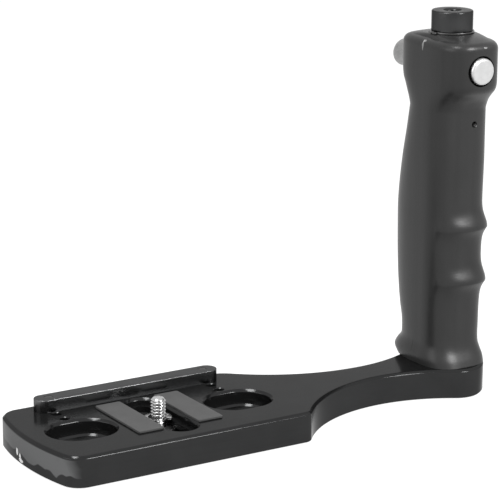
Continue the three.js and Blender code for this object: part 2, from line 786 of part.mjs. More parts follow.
function grip() {
  const body = stack([...gripSectionLevels(), ...headLevels(), ...crownLevels()]);
  const release = (geometry) => alongY(geometry).translate(0, 0, releaseHeight);
  const dowelHoles = dowelPlaces().map((place) => roundRod(
    dowelRadius + fitClearance, plateTop - cutOverrun, plateTop + dowelDepthInGrip,
  ).translate(place.x - handleAxis.x, place.y - handleAxis.y, 0));
  const screwHole = alongX(roundRod(gripScrewRadius + fitClearance, 0, gripFront + cutOverrun * 2));
  return piece('grip', atHandle(cut(body, [
    roundRod(postRadius + fitClearance, -cutOverrun, ringSeat + cutOverrun, fineSteps),
    release(roundRod(
      bushRadius + snugClearance, bushFront - cutOverrun, bushBack + fitClearance, roundSteps,
    )),
    release(roundRod(rodRadius + fitClearance, bushFront, 0)),
    release(roundRod(nippleSeatRadius + fitClearance, 0, headRear + cutOverrun, roundSteps)),
    screwHole.rotateZ(gripScrewAngle).translate(0, 0, gripScrewHeight),
    ...dowelHoles,
  ])), blackMoulded());
}

function gripSetScrew() {
  const low = postRadius + fitClearance * 2;
  const high = gripFront - gripScrewSinking;
  const rod = alongX(turned(rodProfile(gripScrewRadius, low, high, fitClearance / 2), smallSteps));
  const shape = atHandle(rod.rotateZ(gripScrewAngle), gripScrewHeight);
  return piece('grip_set_screw', shape, blackSteel());
}

// Release button and what it moves, along Y through the head

const rodClipLow = postRadius + fitClearance;
const buttonEdge = bushFront - buttonRise;
const buttonInside = buttonEdge + buttonFaceThickness;
const bushFloor = bushBack - bushFloorThickness;

function atRelease(geometry) {
  return atHandle(alongY(geometry), releaseHeight);
}

function releaseButton() {
  const dome = arc(0, 0, 1, -Math.PI / 2, 0, arcSteps / 2).map(({ x, y }) => [
    buttonRadius * x, buttonEdge + buttonDome * y,
  ]);
  const back = bushFloor - buttonTravel - fitClearance;
  const inner = buttonRadius - buttonWall;
  const shape = turned([
    ...dome, [buttonRadius, back], [inner, back], [inner, buttonInside], [0, buttonInside],
  ]);
  return piece('release_button', atRelease(shape), brightSteel());
}

function buttonBush() {
  const inner = bushRadius - bushWall;
  const hole = rodRadius + fitClearance;
  const shape = turned([
    [hole, bushFloor], [inner, bushFloor], [inner, bushFront], [bushRadius, bushFront],
    [bushRadius, bushBack], [hole, bushBack], [hole, bushFloor],
  ]);
  return piece('button_bush', atRelease(shape), blackAnodised());
}

class Helix extends THREE.Curve {
  constructor(radius, turns, low, high) {
    super();
    Object.assign(this, { radius, turns, low, high });
  }

  getPoint(t, target = new THREE.Vector3()) {
    const angle = t * this.turns * Math.PI * 2;
    const height = THREE.MathUtils.lerp(this.low, this.high, t);
    return target.set(this.radius * Math.cos(angle), this.radius * Math.sin(angle), height);
  }
}

function buttonSpring() {
  const room = springWireRadius + fitClearance;
  const path = new Helix(springRadius, springTurns, buttonInside + room, bushFloor - room);
  const shape = new THREE.ExtrudeGeometry(new THREE.Shape(circle(springWireRadius, springSides)), {
    steps: springTurns * springStepsPerTurn, extrudePath: path,
  });
  return piece('button_spring', atRelease(shape), dullSteel());
}

function pushRod() {
  const neck = rodRadius - rodGrooveDepth;
  const grooveEnd = rodClipLow + rodClipThickness + fitClearance;
  const shape = turned([
    [0, buttonInside + fitClearance], [rodRadius, buttonInside + fitClearance], [rodRadius, postRadius],
    [neck, postRadius], [neck, grooveEnd], [rodRadius, grooveEnd], [rodRadius, rodReach], [0, rodReach],
  ], smallSteps);
  return piece('push_rod', atRelease(shape), brightSteel());
}

function pushRodClip() {
  const inner = rodRadius - rodGrooveDepth + fitClearance;
  const profile = ringProfile(inner, rodClipRadius, rodClipLow, rodClipLow + rodClipThickness);
  return piece('push_rod_clip', atRelease(turned(profile, smallSteps)), dullSteel());
}

// Cable socket: a nipple in the head, and a collar that turns on it and presses a split ring on the cable

const collarFront = headRear + collarStandOff;
const collarBack = collarFront + collarLength;
const nippleEnd = headRear + nippleLength;

function cableNipple() {
  const shape = turned([
    [cableBoreRadius, nippleSeat], [nippleSeatRadius, nippleSeat], [nippleSeatRadius, headRear],
    [nippleRadius, headRear], [nippleRadius, nippleEnd], [cableBoreRadius, nippleEnd],
    [cableBoreRadius, nippleSeat],
  ]);
  return piece('cable_nipple', atRelease(shape), brass());
}

function cableClampRing() {
  const high = collarBack - collarEndThickness - fitClearance;
  const profile = ringProfile(cableBoreRadius, nippleRadius, nippleEnd + fitClearance, high);
  return piece('cable_clamp_ring', atRelease(turned(profile, smallSteps)), blackMoulded());
}

function cableCollar() {
  const rim = fluted(collarRadius, collarFluteDepth, collarFlutes);
  const edge = circle(collarRadius - collarFluteDepth * 2, collarFlutes * 2);
  const body = stack([
    { outline: edge, z: collarFront },
    { outline: rim, z: collarFront + collarFluteDepth * 2 },
    { outline: rim, z: collarBack - collarFluteDepth * 2 },
    { outline: edge, z: collarBack },
  ]);
  return piece('cable_collar', atRelease(cut(body, [
    roundRod(nippleRadius + fitClearance, collarFront - cutOverrun, collarBack - collarEndThickness),
    roundRod(cableBoreRadius, collarFront, collarBack + cutOverrun),
  ])), dullSteel());
}

function assembly() {
  const [dowelLeft, dowelRight] = dowelPlaces();
  const pieces = new THREE.Group();
  pieces.add(
    trayPlate(), backstopRail(), railScrew('rail_screw_left', -1), railScrew('rail_screw_right', 1),
    pad('pad_left', -1), pad('pad_right', 1),
    cameraScrew(), cameraScrewClip(), cameraScrewWasher(), cameraScrewKnob(),
    handlePost(), handleBolt(), handleBoltWasher(),
    dowel('grip_dowel_left', dowelLeft), dowel('grip_dowel_right', dowelRight),
    grip(), gripSnapRing(), gripSetScrew(),
    releaseButton(), buttonBush(), buttonSpring(), pushRod(), pushRodClip(),
    cableNipple(), cableClampRing(), cableCollar(),
  );
  return pieces;
}

// The origin lies under the middle of the whole part, on the surface that it stands on.
const part = new THREE.Group();
const pieces = assembly();
const box = new THREE.Box3().setFromObject(pieces, true);
const middle = box.getCenter(new THREE.Vector3());
pieces.position.set(-middle.x, -middle.y, -box.min.z);
part.add(pieces);

export default part;
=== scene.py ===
"""Looks of a camera tray with an upright grip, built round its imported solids.

The pieces are drawn in millimetres in the tray's own coordinates, as the solids are: X runs along the tray
to the handle, Y away from the front edge, Z up. They are placed in the frame's metres when they are made.
"""

import json
import logging
import math
from collections.abc import Iterable, Sequence
from dataclasses import dataclass, field, replace
from enum import Enum
from typing import Any

import bmesh
import bpy
import numpy as np
from mathutils import Matrix, Vector


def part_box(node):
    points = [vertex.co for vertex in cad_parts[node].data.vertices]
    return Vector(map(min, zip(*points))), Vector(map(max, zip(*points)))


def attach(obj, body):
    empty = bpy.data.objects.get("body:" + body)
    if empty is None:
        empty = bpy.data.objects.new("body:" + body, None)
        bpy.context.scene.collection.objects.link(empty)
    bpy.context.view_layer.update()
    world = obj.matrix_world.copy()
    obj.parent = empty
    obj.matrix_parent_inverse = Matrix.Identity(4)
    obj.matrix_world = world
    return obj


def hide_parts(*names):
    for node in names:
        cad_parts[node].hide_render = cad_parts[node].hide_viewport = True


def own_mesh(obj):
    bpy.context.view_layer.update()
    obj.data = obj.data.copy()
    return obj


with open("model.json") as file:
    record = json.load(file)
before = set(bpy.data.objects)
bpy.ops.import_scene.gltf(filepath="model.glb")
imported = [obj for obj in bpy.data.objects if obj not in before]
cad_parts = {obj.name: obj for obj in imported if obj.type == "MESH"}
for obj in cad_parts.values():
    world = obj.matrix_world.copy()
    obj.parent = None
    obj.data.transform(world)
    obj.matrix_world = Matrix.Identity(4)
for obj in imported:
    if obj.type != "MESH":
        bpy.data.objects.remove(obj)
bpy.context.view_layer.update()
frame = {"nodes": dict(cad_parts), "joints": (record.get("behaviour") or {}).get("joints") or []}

LOG = logging.getLogger("camera_tray")
MM = 0.001
PHOTO_SIDE = 500
SENSOR_WIDTH = 36.0
TURN = 2 * math.pi
QUARTER = math.pi / 2
CLEARANCE = 0.3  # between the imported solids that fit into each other
ROD_HOLE = 2.3  # radius of the holes that the push rod runs through
ROUND = 2.0  # the squareness of a circle
BEYOND = 1.0  # how far a cutter reaches past what it cuts
FLAT = 1.0  # how far a rim runs on inwards, so that its corner can be eased

Point = tuple[float, float]
Profile = Sequence[Point]
Level = tuple[np.ndarray, float]
Colour = tuple[float, float, float, float]


class Axis(Enum):
    """The direction that a form's own length runs along, and the turn that brings it there from Z."""

    X = ("Y", QUARTER)
    Y = ("X", -QUARTER)


class Side(Enum):
    """The two sides of the slot."""

    LEFT = -1
    RIGHT = 1


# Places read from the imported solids


@dataclass(frozen=True)
class Extent:
    """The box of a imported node, in the tray's millimetres."""

    low: np.ndarray
    high: np.ndarray

    @classmethod
    def of(cls, node: str) -> "Extent":
        """Reads a node's box.

        Args:
            node: The node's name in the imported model.

        Returns:
            Its lowest and highest corners.
        """
        low, high = (np.array(corner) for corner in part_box(node))
        return cls((low - origin()) / MM, (high - origin()) / MM)

    @property
    def centre(self) -> np.ndarray:
        """The middle of the box."""
        return (self.low + self.high) / 2

    @property
    def size(self) -> np.ndarray:
        """The three lengths of the box."""
        return self.high - self.low


def origin() -> np.ndarray:
    """Where the tray's own coordinates start: under the slot, at the front edge, in the frame's metres."""
    screw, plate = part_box("camera_screw"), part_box("tray_plate")
    return np.array(((screw[0].x + screw[1].x) / 2, plate[0].y, plate[0].z))


# Outlines, profiles and the closed forms made of them


def arc(x: float, y: float, radius: float, start: float, end: float, steps: int = 24) -> np.ndarray:
    """Points on an arc.

    Args:
        x: Its centre.
        y: Its centre.
        radius: Its radius.
        start: The angle of its first point, in radians.
        end: The angle of its last point.
        steps: How many chords it has.

    Returns:
        One row for each point.
    """
    angles = np.linspace(start, end, steps + 1)
    return np.column_stack((x + radius * np.cos(angles), y + radius * np.sin(angles)))


def circle(radius: float, steps: int = 96) -> np.ndarray:
    """Points of a circle about the origin."""
    return arc(0, 0, radius, 0, TURN, steps)[:-1]


def stadium(half_straight: float, radius: float, steps: int = 32) -> np.ndarray:
    """Points of a slot shape about the origin, along X, with round ends.

    Args:
        half_straight: Half the distance between the centres of its ends.
        radius: The radius of its ends.
        steps: How many chords each end has.

    Returns:
        One row for each point, counterclockwise.
    """
    right = arc(half_straight, 0, radius, -QUARTER, QUARTER, steps)
    left = arc(-half_straight, 0, radius, QUARTER, 3 * QUARTER, steps)
    return np.vstack((right, left))


def rounded_rectangle(half_length: float, half_depth: float, radius: float, steps: int = 6) -> np.ndarray:
    """Points of a rectangle about the origin, with round corners.

    Args:
        half_length: Half its length along X.
        half_depth: Half its depth along Y.
        radius: The radius of its corners.
        steps: How many chords each corner has.

    Returns:
        One row for each point, counterclockwise.
    """
    x, y = half_length - radius, half_depth - radius
    corners = ((x, y), (-x, y), (-x, -y), (x, -y))
    return np.vstack([
        arc(cx, cy, radius, QUARTER * i, QUARTER * (i + 1), steps) for i, (cx, cy) in enumerate(corners)
    ])


def eased(profile: Profile, radius: float, closed: bool = False, steps: int = 3) -> list[Point]:
    """Rounds the corners of a profile.

    Args:
        profile: The corners in order. A closed one doesn't repeat its first corner.
        radius: How far the rounding reaches from each corner, where the sides are long enough.
        closed: Whether the last corner joins the first.
        steps: How many chords each rounding has.

    Returns:
        The points of the eased profile.
    """
    points = [np.array(point, float) for point in profile]
    count = len(points)
    made: list[Point] = []
    for i, here in enumerate(points):
        if not closed and i in (0, count - 1):
            made.append(tuple(here))
            continue
        before, after = points[i - 1] - here, points[(i + 1) % count] - here
        lengths = np.linalg.norm(before), np.linalg.norm(after)
        reach = min(radius, 0.45 * min(lengths))
        start, end = here + before / lengths[0] * reach, here + after / lengths[1] * reach
        for t in np.linspace(0, 1, steps + 1):
            made.append(tuple((1 - t) ** 2 * start + 2 * t * (1 - t) * here + t**2 * end))
    return made


@dataclass(frozen=True)
class Shell:
    """A closed surface, in the tray's millimetres."""

    points: np.ndarray
    faces: list[tuple[int, ...]]

    def moved(self, x: float = 0.0, y: float = 0.0, z: float = 0.0) -> "Shell":
        """The same shell, shifted."""
        return replace(self, points=self.points + (x, y, z))

    def turned(self, matrix: Matrix) -> "Shell":
        """The same shell, turned by a matrix about the origin."""
        return replace(self, points=self.points @ np.array(matrix.to_3x3()).T)

    def along(self, axis: Axis) -> "Shell":
        """The same shell, with its length brought from Z to another axis."""
        about, angle = axis.value
        return self.turned(Matrix.Rotation(angle, 3, about))


def loft(levels: Sequence[Level]) -> Shell:
    """A closed form through level outlines of as many points each.

    Args:
        levels: The outlines with their heights, from the lowest to the highest.

    Returns:
        The shell, capped at both ends.
    """
    count = len(levels[0][0])
    points = np.vstack([np.column_stack((outline, np.full(count, z))) for outline, z in levels])
    faces: list[tuple[int, ...]] = []
    for base in range(0, count * (len(levels) - 1), count):
        for i in range(count):
            j = (i + 1) % count
            faces.append((base + i, base + j, base + count + j, base + count + i))
    last = count * (len(levels) - 1)
    faces.append(tuple(range(count - 1, -1, -1)))
    faces.append(tuple(range(last, last + count)))
    return Shell(points, faces)


def prism(outline: np.ndarray, low: float, high: float) -> Shell:
    """A plain prism between two heights."""
    return loft([(outline, low), (outline, high)])


def lathe(profile: Profile, closed: bool = False, steps: int = 96) -> Shell:
    """A turned form about Z.

    Args:
        profile: Radius and height of each point, counterclockwise, from axis to axis.
        closed: Whether the profile closes on itself instead, away from the axis.
        steps: How many flats the form has round the axis.

    Returns:
        The shell.
    """
    angles = np.linspace(0, TURN, steps, endpoint=False)
    points: list[tuple[float, float, float]] = []
    rows: list[list[int]] = []
    for radius, height in profile:
        start = len(points)
        if radius < 1e-9:
            points.append((0.0, 0.0, height))
            rows.append([start] * steps)
        else:
            points += [(radius * math.cos(a), radius * math.sin(a), height) for a in angles]
            rows.append(list(range(start, start + steps)))
    pairs = list(zip(rows, rows[1:] + rows[:1])) if closed else list(zip(rows, rows[1:]))
    faces = []
    for lower, upper in pairs:
        for i in range(steps):
            j = (i + 1) % steps
            corners = dict.fromkeys((lower[i], lower[j], upper[j], upper[i]))
            faces.append(tuple(corners))
    return Shell(np.array(points), faces)


def rod(radius: float, low: float, high: float, steps: int = 64) -> Shell:
    """A plain round rod along Z."""
    return lathe([(0, low), (radius, low), (radius, high), (0, high)], steps=steps)


def hermite(rows: Sequence[Sequence[float]], places: np.ndarray) -> np.ndarray:
    """Smooth values between given rows.

    Args:
        rows: A place and its values in each row, in rising places.
        places: Where values are wanted.

    Returns:
        One row of values for each place.
    """
    table = np.array(rows, float)
    at, values = table[:, 0], table[:, 1:]
    secants = np.diff(values, axis=0) / np.diff(at)[:, None]
    slopes = np.vstack((secants[:1], (secants[:-1] + secants[1:]) / 2, secants[-1:]))
    index = np.clip(np.searchsorted(at, places, side="right") - 1, 0, len(at) - 2)
    span = (at[index + 1] - at[index])[:, None]
    t = (places - at[index])[:, None] / span
    start, end = values[index], values[index + 1]
    lead, trail = slopes[index] * span, slopes[index + 1] * span
    return (
        start * (2 * t**3 - 3 * t**2 + 1)
        + lead * (t**3 - 2 * t**2 + t)
        + end * (3 * t**2 - 2 * t**3)
        + trail * (t**3 - t**2)
    )


# Blender objects


def added(name: str, data: Any) -> bpy.types.Object:
    """A new object of some data, in the scene.

    Args:
        name: The object's name.
        data: Its mesh, lamp or camera.

    Returns:
        The object.
    """
    made = bpy.data.objects.new(name, data)
    bpy.context.scene.collection.objects.link(made)
    return made


def make(name: str, shell: Shell) -> bpy.types.Object:
    """Makes a shell an object in the frame.

    Args:
        name: The object's name.
        shell: The form in the tray's millimetres.

    Returns:
        The object, at the origin, with its place in its mesh.
    """
    mesh = bpy.data.meshes.new(name)
    mesh.from_pydata((shell.points * MM + origin()).tolist(), [], shell.faces)
    made = added(name, mesh)
    pointed_outwards(mesh)
    return made


def pointed_outwards(mesh: bpy.types.Mesh) -> None:
    """Turns every face of a closed mesh to the outside.

    Args:
        mesh: The mesh, which is changed in place.
    """
    work = bmesh.new()
    work.from_mesh(mesh)
    bmesh.ops.recalc_face_normals(work, faces=work.faces)
    work.to_mesh(mesh)
    work.free()


def settled(piece: bpy.types.Object) -> bpy.types.Object:
    """Turns what a piece's modifiers show into its own plain mesh.

    Args:
        piece: The piece.

    Returns:
        The same piece, without modifiers.
    """
    graph = bpy.context.evaluated_depsgraph_get()
    mesh = bpy.data.meshes.new_from_object(piece.evaluated_get(graph))
    piece.modifiers.clear()
    old = piece.data
    piece.data = mesh
    bpy.data.meshes.remove(old)
    return piece


def carved(piece: bpy.types.Object, cuts: Iterable[Shell]) -> None:
    """Cuts shells out of a piece.

    Args:
        piece: A closed piece.
        cuts: The forms to take away, one after the other.
    """
    cutters = [make(f"cutter_{i}", cut) for i, cut in enumerate(cuts)]
    for cutter in cutters:
        cut = piece.modifiers.new("cut", "BOOLEAN")
        cut.operation = "DIFFERENCE"
        cut.solver = "MANIFOLD"
        cut.object = cutter
    settled(piece)
    for cutter in cutters:
        mesh = cutter.data
        bpy.data.objects.remove(cutter)
        bpy.data.meshes.remove(mesh)


def bevelled(piece: bpy.types.Object, width: float) -> bpy.types.Object:
    """Rounds a piece's sharp edges by a width in millimetres.

    Args:
        piece: The piece.
        width: How wide its edges become.

    Returns:
        The same piece.
    """
    edge = piece.modifiers.new("edge", "BEVEL")
    edge.width = width * MM
    edge.segments = 2
    edge.limit_method = "ANGLE"
    edge.angle_limit = math.radians(40)
    return settled(piece)


def tied(piece: bpy.types.Object, body: str, nodes: Sequence[str] = ()) -> None:
    """Ties a dressed piece to the frame.

    Args:
        piece: The piece, whose mesh is final.
        body: The body that it rides on.
        nodes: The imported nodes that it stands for.
    """
    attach(piece, body)
    if nodes:
        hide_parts(*nodes)
    LOG.info("made %s", piece.name)


def finished(
    piece: bpy.types.Object,
    finish: "Finish",
    body: str,
    nodes: Sequence[str] = (),
    crease: float = 32.0,
) -> None:
    """Dresses a piece and ties it to the frame.

    Args:
        piece: The piece, whose mesh is final.
        finish: What it is made of.
        body: The body that it rides on.
        nodes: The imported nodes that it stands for.
        crease: The angle in degrees above which an edge shows.
    """
    piece.data.shade_smooth()
    piece.data.set_sharp_from_angle(angle=math.radians(crease))
    piece.data.materials.clear()
    piece.data.materials.append(finish.material())
    tied(piece, body, nodes)


def dressed(node: str, finish: "Finish") -> None:
    """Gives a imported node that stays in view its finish.

    Args:
        node: The node's name.
        finish: What it is made of.
    """
    piece = frame["nodes"][node]
    piece.data.materials.clear()
    piece.data.materials.append(finish.material())
    LOG.info("dressed %s", node)


# Node trees


@dataclass
class Nodes:
    """A node tree, and the one way that nodes are added to it."""

    tree: bpy.types.NodeTree

    def node(
        self, kind: str, settings: dict[str, Any] | None = None, *values: Any, **sockets: Any,
    ) -> bpy.types.Node:
        """Adds a node.

        Args:
            kind: The node's type.
            settings: Its own settings, such as an operation, which are set first.
            values: Values or links of its first inputs, in order.
            sockets: The same of other inputs by name, with underscores for spaces.

        Returns:
            The node.
        """
        made = self.tree.nodes.new(kind)
        for key, value in (settings or {}).items():
            setattr(made, key, value)
        for target, value in zip(made.inputs, values):
            self.feed(target, value)
        self.fill(made, **sockets)
        return made

    def fill(self, node: bpy.types.Node, **sockets: Any) -> None:
        """Sets or links a node's inputs by name, with underscores for spaces."""
        for key, value in sockets.items():
            self.feed(node.inputs[key.replace("_", " ")], value)

    def feed(self, target: bpy.types.NodeSocket, value: Any) -> None:
        """Links an input or sets its value.

        Args:
            target: The input.
            value: A plain value, a socket to link or a shader value.
        """
        source = value.socket if isinstance(value, Number) else value
        if isinstance(source, bpy.types.NodeSocket):
            self.tree.links.new(source, target)
        else:
            target.default_value = source

    def math(self, operation: str, *values: Any) -> "Number":
        """Adds a Math node and returns its result."""
        return Number(self, self.node("ShaderNodeMath", {"operation": operation}, *values).outputs[0])


# Geometry trees for what repeats or follows a path


@dataclass
class Tree(Nodes):
    """A geometry tree with named inputs, built step by step."""

    name: str
    tree: bpy.types.GeometryNodeTree = field(init=False)
    entry: bpy.types.Node = field(init=False)

    def __post_init__(self) -> None:
        """Starts the tree with its output."""
        self.tree = bpy.data.node_groups.new(self.name, "GeometryNodeTree")
        self.tree.interface.new_socket("Geometry", in_out="OUTPUT", socket_type="NodeSocketGeometry")
        self.entry = self.node("NodeGroupInput")

    def number(self, name: str, kind: str = "Float") -> bpy.types.NodeSocket:
        """Adds a named input and returns its socket inside the tree."""
        self.tree.interface.new_socket(name, in_out="INPUT", socket_type=f"NodeSocket{kind}")
        return self.entry.outputs[name]

    def end(self, geometry: bpy.types.NodeSocket) -> None:
        """Closes the tree: real geometry, with the material that its input names.

        Args:
            geometry: What the tree has made.
        """
        real = self.node("GeometryNodeRealizeInstances", Geometry=geometry)
        material = self.number("Material", "Material")
        dressing = self.node("GeometryNodeSetMaterial", Geometry=real.outputs[0], Material=material)
        self.node("NodeGroupOutput", None, dressing.outputs[0])

    def run(self, name: str, place: Matrix, **values: Any) -> bpy.types.Object:
        """Runs the tree on a new object.

        Args:
            name: The object's name.
            place: Where the result goes, in the tray's millimetres.
            values: The inputs by name, with underscores for spaces. Lengths are in millimetres.

        Returns:
            The object, with a plain mesh at its place in the frame.
        """
        holder = added(name, bpy.data.meshes.new(name))
        maker = holder.modifiers.new("maker", "NODES")
        maker.node_group = self.tree
        for item in self.tree.interface.items_tree:
            key = item.name.replace(" ", "_")
            if item.in_out == "INPUT" and key in values:
                maker[item.identifier] = values[key]
        settled(holder)
        holder.data.transform(Matrix.Translation(Vector(origin())) @ Matrix.Scale(MM, 4) @ place)
        pointed_outwards(holder.data)
        return holder


def rib_ring() -> Tree:
    """Ribs round a circle, as on a knurled edge: four-sided bars, half sunk in what carries them.

    Returns:
        The tree, with the inputs Count, Radius, Length, Width and Material.
    """
    tree = Tree("rib_ring")
    count = tree.number("Count", "Int")
    radius = tree.number("Radius")
    length = tree.number("Length")
    width = tree.number("Width")
    ring = tree.node("GeometryNodeMeshCircle", Vertices=count, Radius=radius)
    bar = tree.node(
        "GeometryNodeMeshCylinder", Vertices=4, Side_Segments=1, Radius=width, Depth=length,
    )
    place = tree.node("GeometryNodeInputPosition")
    facing = tree.node(
        "FunctionNodeAlignRotationToVector", {"axis": "X", "pivot_axis": "Z"}, Vector=place.outputs[0],
    )
    ribs = tree.node(
        "GeometryNodeInstanceOnPoints", Points=ring.outputs[0], Instance=bar.outputs[0],
        Rotation=facing.outputs[0],
    )
    tree.end(ribs.outputs[0])
    return tree


def coil() -> Tree:
    """A round wire on a helix with open turns.

    Returns:
        The tree, with the inputs Turns, Radius, Height, Wire and Material.
    """
    tree = Tree("coil")
    turns = tree.number("Turns")
    radius = tree.number("Radius")
    height = tree.number("Height")
    wire = tree.number("Wire")
    path = tree.node(
        "GeometryNodeCurveSpiral", Resolution=28, Rotations=turns, Start_Radius=radius, End_Radius=radius,
        Height=height,
    )
    section = tree.node("GeometryNodeCurvePrimitiveCircle", Resolution=10, Radius=wire)
    tube = tree.node(
        "GeometryNodeCurveToMesh", Curve=path.outputs[0], Profile_Curve=section.outputs[0], Fill_Caps=True,
    )
    tree.end(tube.outputs[0])
    return tree


# Finishes


@dataclass(frozen=True)
class Number:
    """A shader value that takes Python's arithmetic."""

    graph: Nodes
    socket: bpy.types.NodeSocket

    def _with(self, operation: str, *values: "Number | float") -> "Number":
        """Adds one Math node on these values."""
        return self.graph.math(operation, *values)

    def __add__(self, other: "Number | float") -> "Number":
        """Sum."""
        return self._with("ADD", self, other)

    def __sub__(self, other: "Number | float") -> "Number":
        """Difference."""
        return self._with("SUBTRACT", self, other)

    def __mul__(self, other: "Number | float") -> "Number":
        """Product."""
        return self._with("MULTIPLY", self, other)

    def __rsub__(self, other: float) -> "Number":
        """Difference from a plain number."""
        return self._with("SUBTRACT", other, self)

    __radd__ = __add__
    __rmul__ = __mul__


@dataclass(frozen=True)
class Mark:
    """A place on a surface that looks different, in the tray's millimetres."""

    centre: tuple[float, float, float]
    reach: tuple[float, float, float]


@dataclass
class Graph(Nodes):
    """The nodes of one material, round its Principled shader."""

    name: str
    tree: bpy.types.NodeTree = field(init=False)
    material: bpy.types.Material = field(init=False)
    shader: bpy.types.Node = field(init=False)

    def __post_init__(self) -> None:
        """Starts the material."""
        self.material = bpy.data.materials.new(self.name)
        self.material.use_nodes = True
        self.tree = self.material.node_tree
        self.shader = self.tree.nodes["Principled BSDF"]

    def places(
        self, scale: tuple[float, float, float] = (1.0, 1.0, 1.0), centre: Vector | None = None,
    ) -> bpy.types.NodeSocket:
        """The surface's own coordinates.

        Args:
            scale: How they are stretched.
            centre: What they are counted from, in the frame's metres.

        Returns:
            The vector's socket.
        """
        own = self.node("ShaderNodeTexCoord").outputs["Object"]
        if centre is not None:
            own = self.node("ShaderNodeVectorMath", {"operation": "SUBTRACT"}, own, centre).outputs[0]
        mapping = self.node("ShaderNodeMapping", Vector=own, Scale=scale)
        return mapping.outputs[0]

    def noise(self, scale: tuple[float, float, float], detail: float = 2.0) -> Number:
        """Smooth noise from 0 to 1 over the stretched surface."""
        made = self.node("ShaderNodeTexNoise", Vector=self.places(scale), Scale=1.0, Detail=detail)
        return Number(self, made.outputs[0])

    def length(self, vector: bpy.types.NodeSocket) -> Number:
        """A vector's length."""
        made = self.node("ShaderNodeVectorMath", {"operation": "LENGTH"}, Vector=vector)
        return Number(self, made.outputs[1])

    def ramp(self, value: Number, low: float, high: float) -> Number:
        """A value's rise from 0 to 1 between two levels, held there outside them."""
        made = self.node("ShaderNodeMapRange", Value=value, From_Min=low, From_Max=high)
        return Number(self, made.outputs[0])

    def mixed(self, share: Number | float, first: Any, second: Any) -> Any:
        """A colour between two colours or links, by a share that may pass 1.

        Args:
            share: Where the colour lies between the two.
            first: The colour at 0.
            second: The colour at 1.

        Returns:
            The colour's socket.
        """
        made = self.node("ShaderNodeMix", {"data_type": "RGBA", "clamp_factor": False})
        for target, value in zip((made.inputs[0], made.inputs[6], made.inputs[7]), (share, first, second)):
            self.feed(target, value)
        return made.outputs[2]

    def marked(self, marks: Sequence[Mark], ragged: float = 0.6) -> Number | float:
        """A share that is 1 inside marks with ragged edges, and 0 elsewhere.

        Args:
            marks: The places.
            ragged: How far noise moves their edges, as a share of their reach.

        Returns:
            The share.
        """
        total: Number | float = 0.0
        for mark in marks:
            scale = tuple(1 / (reach * MM) for reach in mark.reach)
            own = self.places(scale, Vector(tray_point(*mark.centre)))
            away = self.length(own)
            edge = self.noise(evenly(1800.0), 2.0) * (2 * ragged) - ragged
            total = self.ramp(away + edge, 1.0, 0.8) + total
        return total

    def relief(self, height: Number, depth: float) -> None:
        """Raises the surface by a height, in metres at full height."""
        made = self.node("ShaderNodeBump", Height=height, Strength=1.0, Distance=depth)
        self.feed(self.shader.inputs["Normal"], made.outputs[0])

    def say(self, **sockets: Any) -> None:
        """Sets or links inputs of the shader itself."""
        self.fill(self.shader, **sockets)


def evenly(scale: float) -> tuple[float, float, float]:
    """A pattern's scale, the same in all directions."""
    return (scale, scale, scale)


def weighed(patterns: Sequence[Number], weights: Sequence[float]) -> Number:
    """The sum of patterns, each times its weight."""
    first, *others = (pattern * weight for pattern, weight in zip(patterns, weights))
    return sum(others, first)


def grey(level: float, warmth: float = 0.0) -> Colour:
    """A grey, a little warm or, below zero, cold."""
    return (level * (1 + warmth), level, level * (1 - warmth), 1.0)


@dataclass(frozen=True)
class Finish:
    """What a piece is made of. Each kind keeps one material for all its pieces."""

    slot: str
    level: float = 0.05
    roughness: float = 0.4
    variant: str = ""
    dye_range: Point = (0.9, 1.1)
    dye_warmth: float = 0.0

    def material(self) -> bpy.types.Material:
        """The finish's material, made at its first use.

        Returns:
            The material.
        """
        name = f"finish_{self.slot}{self.variant}"
        known = bpy.data.materials.get(name)
        return known or self.made(Graph(name)).material

    def dyed(self, graph: Graph, share: Number) -> bpy.types.NodeSocket:
        """The colour between the dye's darkest and lightest shade."""
        return graph.mixed(share, *(grey(self.level * factor, self.dye_warmth) for factor in self.dye_range))

    def roughened(self, patterns: Sequence[Number], weights: Sequence[float]) -> Number:
        """The finish's roughness, with patterns from 0 to 1 that leave its mean as it is."""
        return weighed(patterns, weights) + (self.roughness - sum(weights) / 2)

    def made(self, graph: Graph) -> Graph:
        """Fills the graph."""
        raise NotImplementedError


